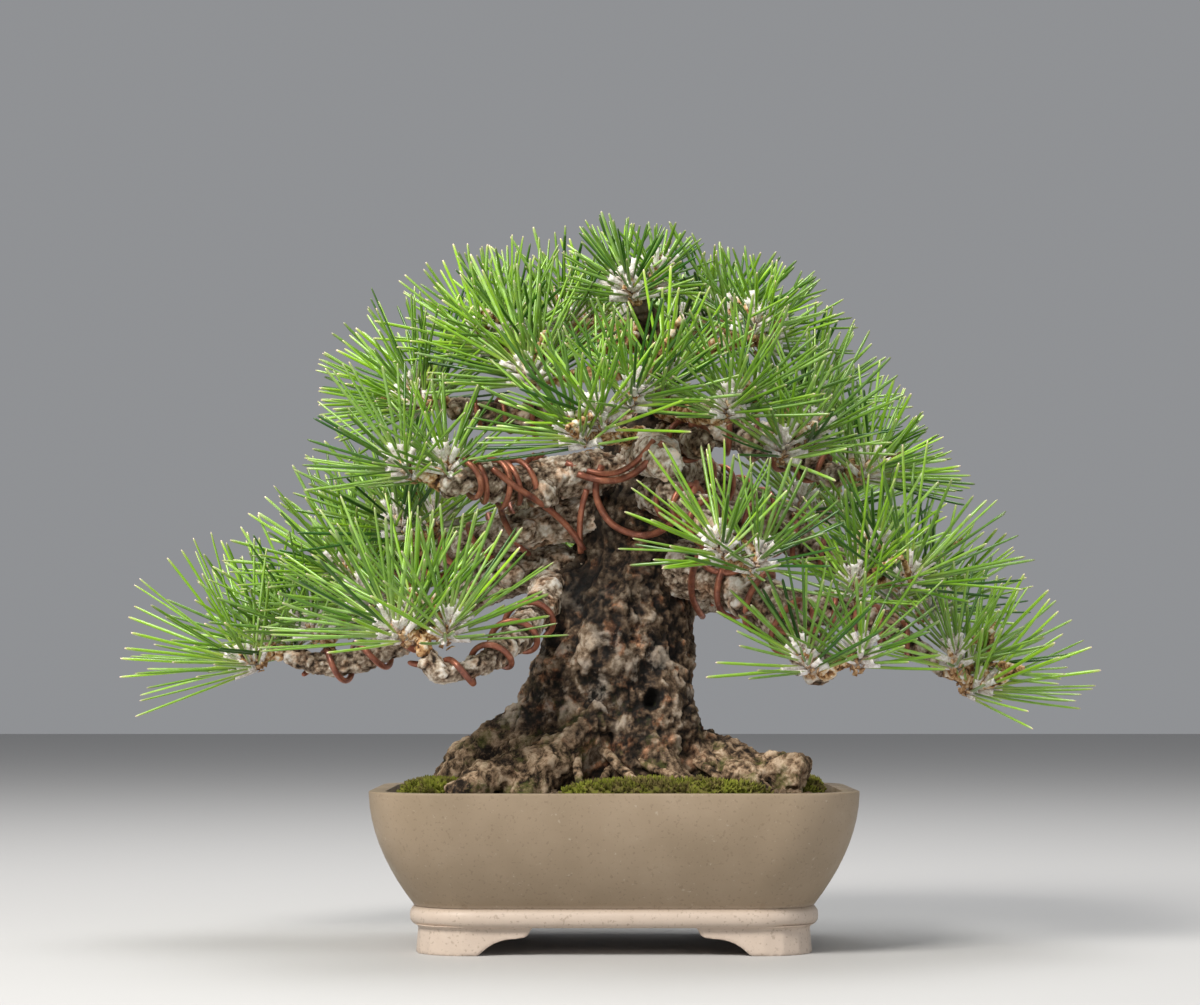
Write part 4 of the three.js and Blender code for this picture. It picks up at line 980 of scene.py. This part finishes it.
def copies(name, shape, places):
    # places: (foot, x, y, z, width, thickness, length, bend, tint); bend carries the tip aside
    points, faces = shape
    count, many = len(points), len(places)
    allPoints = []
    for foot, x, y, z, width, thickness, length, bend, tint in places:
        placed = points * np.array([width, thickness, length]) @ np.array([x, y, z]) + np.array(foot)
        allPoints.append(placed + np.outer(points[:, 2] ** 2, np.array(bend)))
    mesh = bpy.data.meshes.new(name)
    allFaces = [tuple(v + i * count for v in face) for i in range(many) for face in faces]
    mesh.from_pydata(np.concatenate(allPoints).tolist(), [], allFaces)
    piece = newPiece(name, mesh)
    keepNumber(mesh, "along", np.tile(np.clip(points[:, 2], 0, 1), many))
    keepNumber(mesh, "tint", np.repeat([place[-1] for place in places], count))
    keepNumber(mesh, "side", np.tile(points[:, 1] > 0.1, many))
    strips = mesh.uv_layers.new(name="OFBake")
    corners = []
    for i in range(many):
        low, high = (i + 0.15) / many, (i + 0.85) / many
        for face in faces:
            heights = [points[v][2] for v in face]
            flat = max(heights) - min(heights) < 1e-6
            middle = sum(math.atan2(points[v][1], points[v][0]) for v in face) / len(face)
            for k, v in enumerate(face):
                u = 0.01 + 0.97 * min(max(points[v][2], 0), 1)
                if flat:
                    u = min(u + 0.008 * math.cos(2 * math.pi * k / len(face)) + 0.008, 0.999)
                    w = 0.5 + 0.4 * math.sin(2 * math.pi * k / len(face))
                else:
                    w = 0.0 if math.atan2(points[v][1], points[v][0]) < middle else 1.0
                corners.extend((u, low + (high - low) * w))
    strips.data.foreach_set("uv", np.array(corners, np.float32))
    return piece


def isSharp(vert):
    return sum(loop.calc_angle() for loop in vert.link_loops) < shootLook["sharp"]


def findTufts(piece, look):
    # The CAD shoot's spikes: its sharp tips. Spikes that leave one point are one bud's.
    bm = bmesh.new()
    bm.from_mesh(piece.data)
    spikes = []
    for vert in bm.verts:
        if isSharp(vert):
            near = [edge.other_vert(vert).co for edge in vert.link_edges]
            spikes.append((sum(near, Vector()) / len(near), vert.co.copy()))
    bm.free()
    tufts = []
    left = spikes
    while left:
        guesses = [foot - (tip - foot).normalized() * look["budDepth"] for foot, tip in left]
        crowd = [sum((a - b).length < look["oneBud"] for b in guesses) for a in guesses]
        best = guesses[crowd.index(max(crowd))]
        close = [g for g in guesses if (g - best).length < look["oneBud"]]
        middle = sum(close, Vector()) / len(close)

        def belongs(foot, tip):
            way = (tip - foot).normalized()
            off = (middle - foot) - way * (middle - foot).dot(way)
            return off.length < look["offBud"] and (foot - middle).length < 30 * mm

        mine = [s for s in left if belongs(*s)]
        left = [s for s in left if not belongs(*s)]
        if len(mine) < 3:
            if not mine:
                left = left[1:]
            continue
        aim = sum(((tip - middle).normalized() for foot, tip in mine), Vector()).normalized()
        reach = max((tip - middle).length for foot, tip in mine)
        tufts.append({"middle": middle, "aim": aim, "reach": reach, "tips": [tip for foot, tip in mine]})
    return tufts


def crownTop(x, y):  # the clipped crown's height above the rim, x and y from the pot's middle, in mm
    foot, depth = shootLook["crownFoot"], shootLook["crownDepth"]
    top = np.interp(x, *zip(*shootLook["crown"]), 0, 0)
    return foot + (top - foot) * math.sqrt(max(1 - (y / depth) ** 2, 0))


def clipped(foot, way, length, slack, least=0.45, snip=0.03):
    # The share of a needle left when the crown is clipped.
    share = 1.0
    while share > least:
        tip = (foot + way * length * share) / mm
        if tip.z - rimZ / mm < crownTop(tip.x - potMiddle.x / mm, tip.y - potMiddle.y / mm) + slack:
            return share
        share -= snip
    return 0


def insideBox(foot, tip, margin):  # the share of the way to the tip that stays in the CAD box
    share = 1.0
    for axis in range(3):
        way = tip[axis] - foot[axis]
        end = foot[axis] + way
        stop = min(max(end, cadBox[0][axis] + margin), cadBox[1][axis] - margin)
        if stop != end:
            share = min(share, (stop - foot[axis]) / way)
    return share


def twigFrom(piece, look):
    # Takes the spikes off a copy of the shoot and works what is left into a twig.
    editing(piece, "DESELECT")
    bm = bmesh.from_edit_mesh(piece.data)
    for vert in list(bm.verts):
        if isSharp(vert):
            bm.verts.remove(vert)
    bmesh.update_edit_mesh(piece.data)
    bpy.ops.mesh.select_all(action="SELECT")
    bpy.ops.mesh.fill_holes(sides=0)
    bpy.ops.mesh.normals_make_consistent(inside=False)
    doneEditing()
    remeshed(piece, look["twigVoxel"], 4)


def needlesOf(tuft, look, rng):
    needles, sheaths = [], []
    start = rng.uniform(0, 2 * math.pi)
    tuftTint = rng.gauss(*look["tint"])
    x, y, z = frameOf((tuft["aim"] + Vector((0, 0, look["lift"]))).normalized(), 0)
    thinned = tuft["middle"].x > potMiddle.x + look["thinnedFrom"]
    pairs = look["thinnedPairs"] if thinned else look["pairs"]
    for i in range(pairs):
        spread = (i + 0.5) / pairs
        lean = look["narrowest"] + (look["widest"] - look["narrowest"]) * spread ** look["leanPower"]
        lean *= rng.uniform(0.86, 1.1)
        turn = start + goldenTurn * i + rng.uniform(-0.3, 0.3)
        out = x * math.cos(turn) + y * math.sin(turn)
        way = z * math.cos(lean) + out * math.sin(lean)
        if way.z < look["level"]:
            way.z = look["level"] + (way.z - look["level"]) * look["droop"]
            way.normalize()
        foot = tuft["middle"] - z * look["collar"] * (spread**1.2) * 0.9 + z * 1.2 * mm
        foot = foot + out * (0.9 * mm)
        pairTint = tuftTint + rng.gauss(0, look["pairTint"])
        roll = rng.uniform(0, 2 * math.pi)
        full = tuft["reach"] * rng.uniform(*look["length"]) * (1 - 0.06 * spread)
        px, py, pz = frameOf(way, roll)
        long = rng.uniform(*look["sheath"])
        wide = look["sheathRadius"] * rng.uniform(0.85, 1.2)
        sheaths.append((foot, px, py, pz, wide, wide * 0.9, long, Vector(), 0.5))
        for side in (-1, 1):
            part = look["split"] * rng.uniform(0.3, 1.5)
            needleWay = (way + px * side * part + py * rng.uniform(-0.04, 0.04)).normalized()
            needleFoot = foot + px * side * 0.28 * mm + way * 0.5 * mm
            length = full * rng.uniform(0.93, 1.0)
            bend = Vector((0, 0, 0.35)) + z * 0.4 + px * rng.uniform(-1, 1) + py * rng.uniform(-1, 1)
            bend = (bend - needleWay * bend.dot(needleWay)) * look["bend"] * length * rng.uniform(0.1, 0.6)
            length *= clipped(needleFoot, needleWay, length, rng.gauss(0, look["ragged"]))
            if length < look["shortest"]:
                continue
            tip = needleFoot + needleWay * length
            share = min(insideBox(needleFoot, end, look["margin"]) for end in (tip, tip + bend))
            if share < 0.5:
                continue
            nx, ny, nz = frameOf(needleWay, roll)
            width = look["radius"] * rng.uniform(0.85, 1.12)
            tint = min(max(pairTint + rng.uniform(-0.08, 0.08), 0), 1)
            needles.append((needleFoot, nx, ny, nz, width, width, length * share, bend * share, tint))
    return needles, sheaths


def budOf(tuft, look, rng):
    scales = []
    x, y, z = frameOf(tuft["aim"], rng.uniform(0, 6))
    for i in range(look["scales"]):
        spread = (i + 0.5) / look["scales"]
        turn = goldenTurn * i + rng.uniform(-0.2, 0.2)
        out = x * math.cos(turn) + y * math.sin(turn)
        wide = look["radius"] * (1 - 0.7 * max(0, spread - 0.5))
        foot = tuft["middle"] + z * (spread * look["long"] - look["sunk"]) + out * wide * 0.9
        way = (z + out * rng.uniform(*look["open"])).normalized()
        across = way.cross(out).normalized()
        outward = across.cross(way).normalized()
        size = rng.uniform(*look["scale"])
        scales.append((foot, across, -outward, way, size * 1.5, size * 2.0, size * 1.7, Vector(), spread))
    return scales


def makeShoots(look):
    total = 0
    for number, node in enumerate(nodesNamed("shoot")):
        rng = random.Random(100 + number)
        label = titled(node.split("_")[1:])
        twig = mergedCopy(node, "twig" + label)
        tufts = findTufts(twig, look)
        twigFrom(twig, look)
        roughen(twig, twigLook, number + 30)
        showAs(twig, twigBark, "needles", node)
        needles, sheaths, scales = [], [], []
        for tuft in tufts:
            some, sleeves = needlesOf(tuft, look, rng)
            needles += some
            sheaths += sleeves
            scales += budOf(tuft, budLook, rng)
        total += len(needles)
        for piece, material in (
            (copies("needles" + label, needleShape, needles), needleGreen),
            (copies("sheaths" + label, sheathShape, sheaths), sheathPaper),
            (copies("buds" + label, scaleShape, scales), budScale),
        ):
            showAs(piece, material, "needles", node)
        print("  ", node, len(tufts), "tufts", len(needles), "needles")
    print("needles in all:", total)


makeShoots(shootLook)
print("stage: shoots")

# Soil and moss.
groundLook = {
    "soilVoxel": 1.3 * mm, "grains": 900, "grain": (0.7 * mm, 1.9 * mm), "mossVoxel": 0.9 * mm,
    "blades": 1500,  # on each moss cushion
    "blade": (1.0 * mm, 2.2 * mm),
}


def modelGrain():
    deselectAll()
    bpy.ops.mesh.primitive_ico_sphere_add(subdivisions=1, radius=1)
    piece = bpy.context.active_object
    rng = random.Random(5)
    for vert in piece.data.vertices:
        vert.co *= rng.uniform(0.75, 1.15)
    return templateOf(piece)


def modelSprig():
    # A moss sprig: three leaves that lean out of one foot.
    deselectAll()
    bpy.ops.mesh.primitive_cone_add(vertices=3, radius1=0.34, radius2=0.05, depth=1, location=(0, 0, 0.5))
    first = bpy.context.active_object
    placeInMesh(first)
    leaves = []
    for k in range(2):
        bpy.ops.mesh.primitive_cone_add(
            vertices=3, radius1=0.26, radius2=0.04, depth=0.9, location=(0, 0, 0.4)
        )
        leaf = bpy.context.active_object
        leaf.rotation_euler = (0.7, 0, 1.2 + 2.6 * k)
        placeInMesh(leaf)
        leaves.append(leaf)
    return templateOf(joinedInto(first, leaves))


def spotsOn(piece, count, rng, wanted):
    # Random places on the faces that are wanted, in proportion to their area.
    faces = [p for p in piece.data.polygons if wanted(p.center, p.normal)]
    weights = [p.area for p in faces]
    spots = []
    for face in rng.choices(faces, weights, k=count):
        corners = [piece.data.vertices[v].co for v in face.vertices]
        shares = [rng.random() for corner in corners]
        total = sum(shares)
        place = sum((corner * (share / total) for corner, share in zip(corners, shares)), Vector())
        spots.append((place, face.normal.copy()))
    return spots


def lumpy(piece, size, height, seed):
    points, normals = pointArray(piece.data), pointArray(piece.data, "normal")
    rises = []
    for x, y, z in points / mm:
        place = Vector((x + seed * 11, y, z))
        lumps = noise.voronoi(place / size)[0][0]
        rises.append(height * (0.6 - lumps + 0.7 * noise.fractal(place / (size * 2.4), 0.9, 2.0, 3)))
    setPoints(piece.data, points + normals * np.array(rises)[:, None] * mm)


def makeGround(look):
    rng = random.Random(11)
    grain, sprig = modelGrain(), modelSprig()
    soil = mergedCopy("soil", "soilBed")
    remeshed(soil, look["soilVoxel"])
    lumpy(soil, 2.6, 0.7, 1)
    grains = []
    for place, normal in spotsOn(soil, look["grains"], rng, lambda c, n: n.z > 0.5 and c.z > rimZ - 6 * mm):
        size = rng.uniform(*look["grain"])
        x, y, z = frameOf(Vector([rng.gauss(0, 1) for axis in range(3)]), 0)
        deep, tall = size * rng.uniform(0.7, 1), size * rng.uniform(0.7, 1)
        grains.append((place, x, y, z, size, deep, tall, Vector(), 0.5))
    grit = copies("soilGrains", grain, grains)
    showAs(soil, dampSoil, "soil", "soil")
    showAs(grit, soilGrit, "soil", "soil", smooth=False)
    for number, node in enumerate(nodesNamed("moss")):
        label = node.split("_")[1].title()
        cushion = mergedCopy(node, "mossCushion" + label)
        remeshed(cushion, look["mossVoxel"])
        lumpy(cushion, 3.2, 0.9, 3 + number)
        # the cushion under the sprigs takes a darker step of the moss's painted shade
        keepNumber(cushion.data, "along", np.full(len(cushion.data.vertices), 0.35))
        blades = []
        for place, normal in spotsOn(cushion, look["blades"], rng, lambda c, n: n.z > 0.1):
            lean = (normal + Vector((rng.gauss(0, 0.35), rng.gauss(0, 0.35), 0.4))).normalized()
            tall = rng.uniform(*look["blade"])
            x, y, z = frameOf(lean, rng.uniform(0, 6))
            wide = tall * rng.uniform(0.5, 0.8)
            blades.append((place, x, y, z, wide, wide, tall, Vector(), 0.5))
        showAs(cushion, mossGreen, "moss", node)
        sprigs = copies("mossSprigs" + label, sprig, blades)
        showAs(sprigs, mossGreen, "moss", node, smooth=False)


makeGround(groundLook)
print("stage: soil and moss")

# Drainage fittings keep their own shape.
fittingFinish = {
    "drain_screen": blackMesh, "screen_clip": makeAluminium(), "anchor_wire": makeAluminium(),
}
for node, piece in frame["nodes"].items():
    for start, material in fittingFinish.items():
        if node.startswith(start):
            for slot in piece.material_slots:
                slot.material = material

# Floor, light and camera.
studio = {
    "floor": (0.47, 0.465, 0.46), "sky": (0.9, 0.92, 0.96), "skyStrength": 0.31,
    "view": Vector((-4.6, -1000, 88)) * mm,  # from the middle of the pot, at table height
    "pitch": 3.47, "lens": 88.7,
    "lights": [  # name, size, place, watts, colour
        ("keyLight", 0.6, (-0.7, -0.95, 1.15), 34, (1, 0.97, 0.92)),
        ("fillLight", 1.3, (1.3, -0.9, 0.7), 6, (0.95, 0.97, 1)),
        ("topLight", 0.8, (0.1, 0.3, 1.4), 13, (1, 1, 1)),
    ],
    "lightsAimAt": Vector((0, 0, 0.12)),
}


def makeFloor():
    deselectAll()
    bpy.ops.mesh.primitive_plane_add(size=8, location=(0, 0, 0))
    floor = bpy.context.active_object
    floor.name = "studioFloor"
    floor.data.materials.append(Nodes("paleFloor").finish(studio["floor"], 0.7))


def softLight(name, size, place, energy, colour):
    data = bpy.data.lights.new(name, "AREA")
    data.size = size
    data.energy = energy
    data.color = colour
    lamp = bpy.data.objects.new(name, data)
    bpy.context.collection.objects.link(lamp)
    lamp.location = place
    aim = studio["lightsAimAt"] - Vector(place)
    lamp.rotation_euler = aim.to_track_quat("-Z", "Y").to_euler()


def makeStudio():
    world = bpy.data.worlds.new("studioSky")
    bpy.context.scene.world = world
    world.use_nodes = True
    sky = world.node_tree.nodes["Background"]
    sky.inputs["Color"].default_value = (*studio["sky"], 1)
    sky.inputs["Strength"].default_value = studio["skyStrength"]
    for light in studio["lights"]:
        softLight(*light)
    data = bpy.data.cameras.new("camera")
    camera = bpy.data.objects.new("camera", data)
    bpy.context.collection.objects.link(camera)
    camera.location = Vector((potMiddle.x, potMiddle.y, 0)) + studio["view"]
    camera.rotation_euler = (math.radians(90 + studio["pitch"]), 0, 0)
    data.lens = studio["lens"]
    data.sensor_width = 36
    data.sensor_fit = "HORIZONTAL"
    data.clip_start = 0.05
    bpy.context.scene.camera = camera
    bpy.context.scene.view_settings.view_transform = "Standard"


makeFloor()
makeStudio()
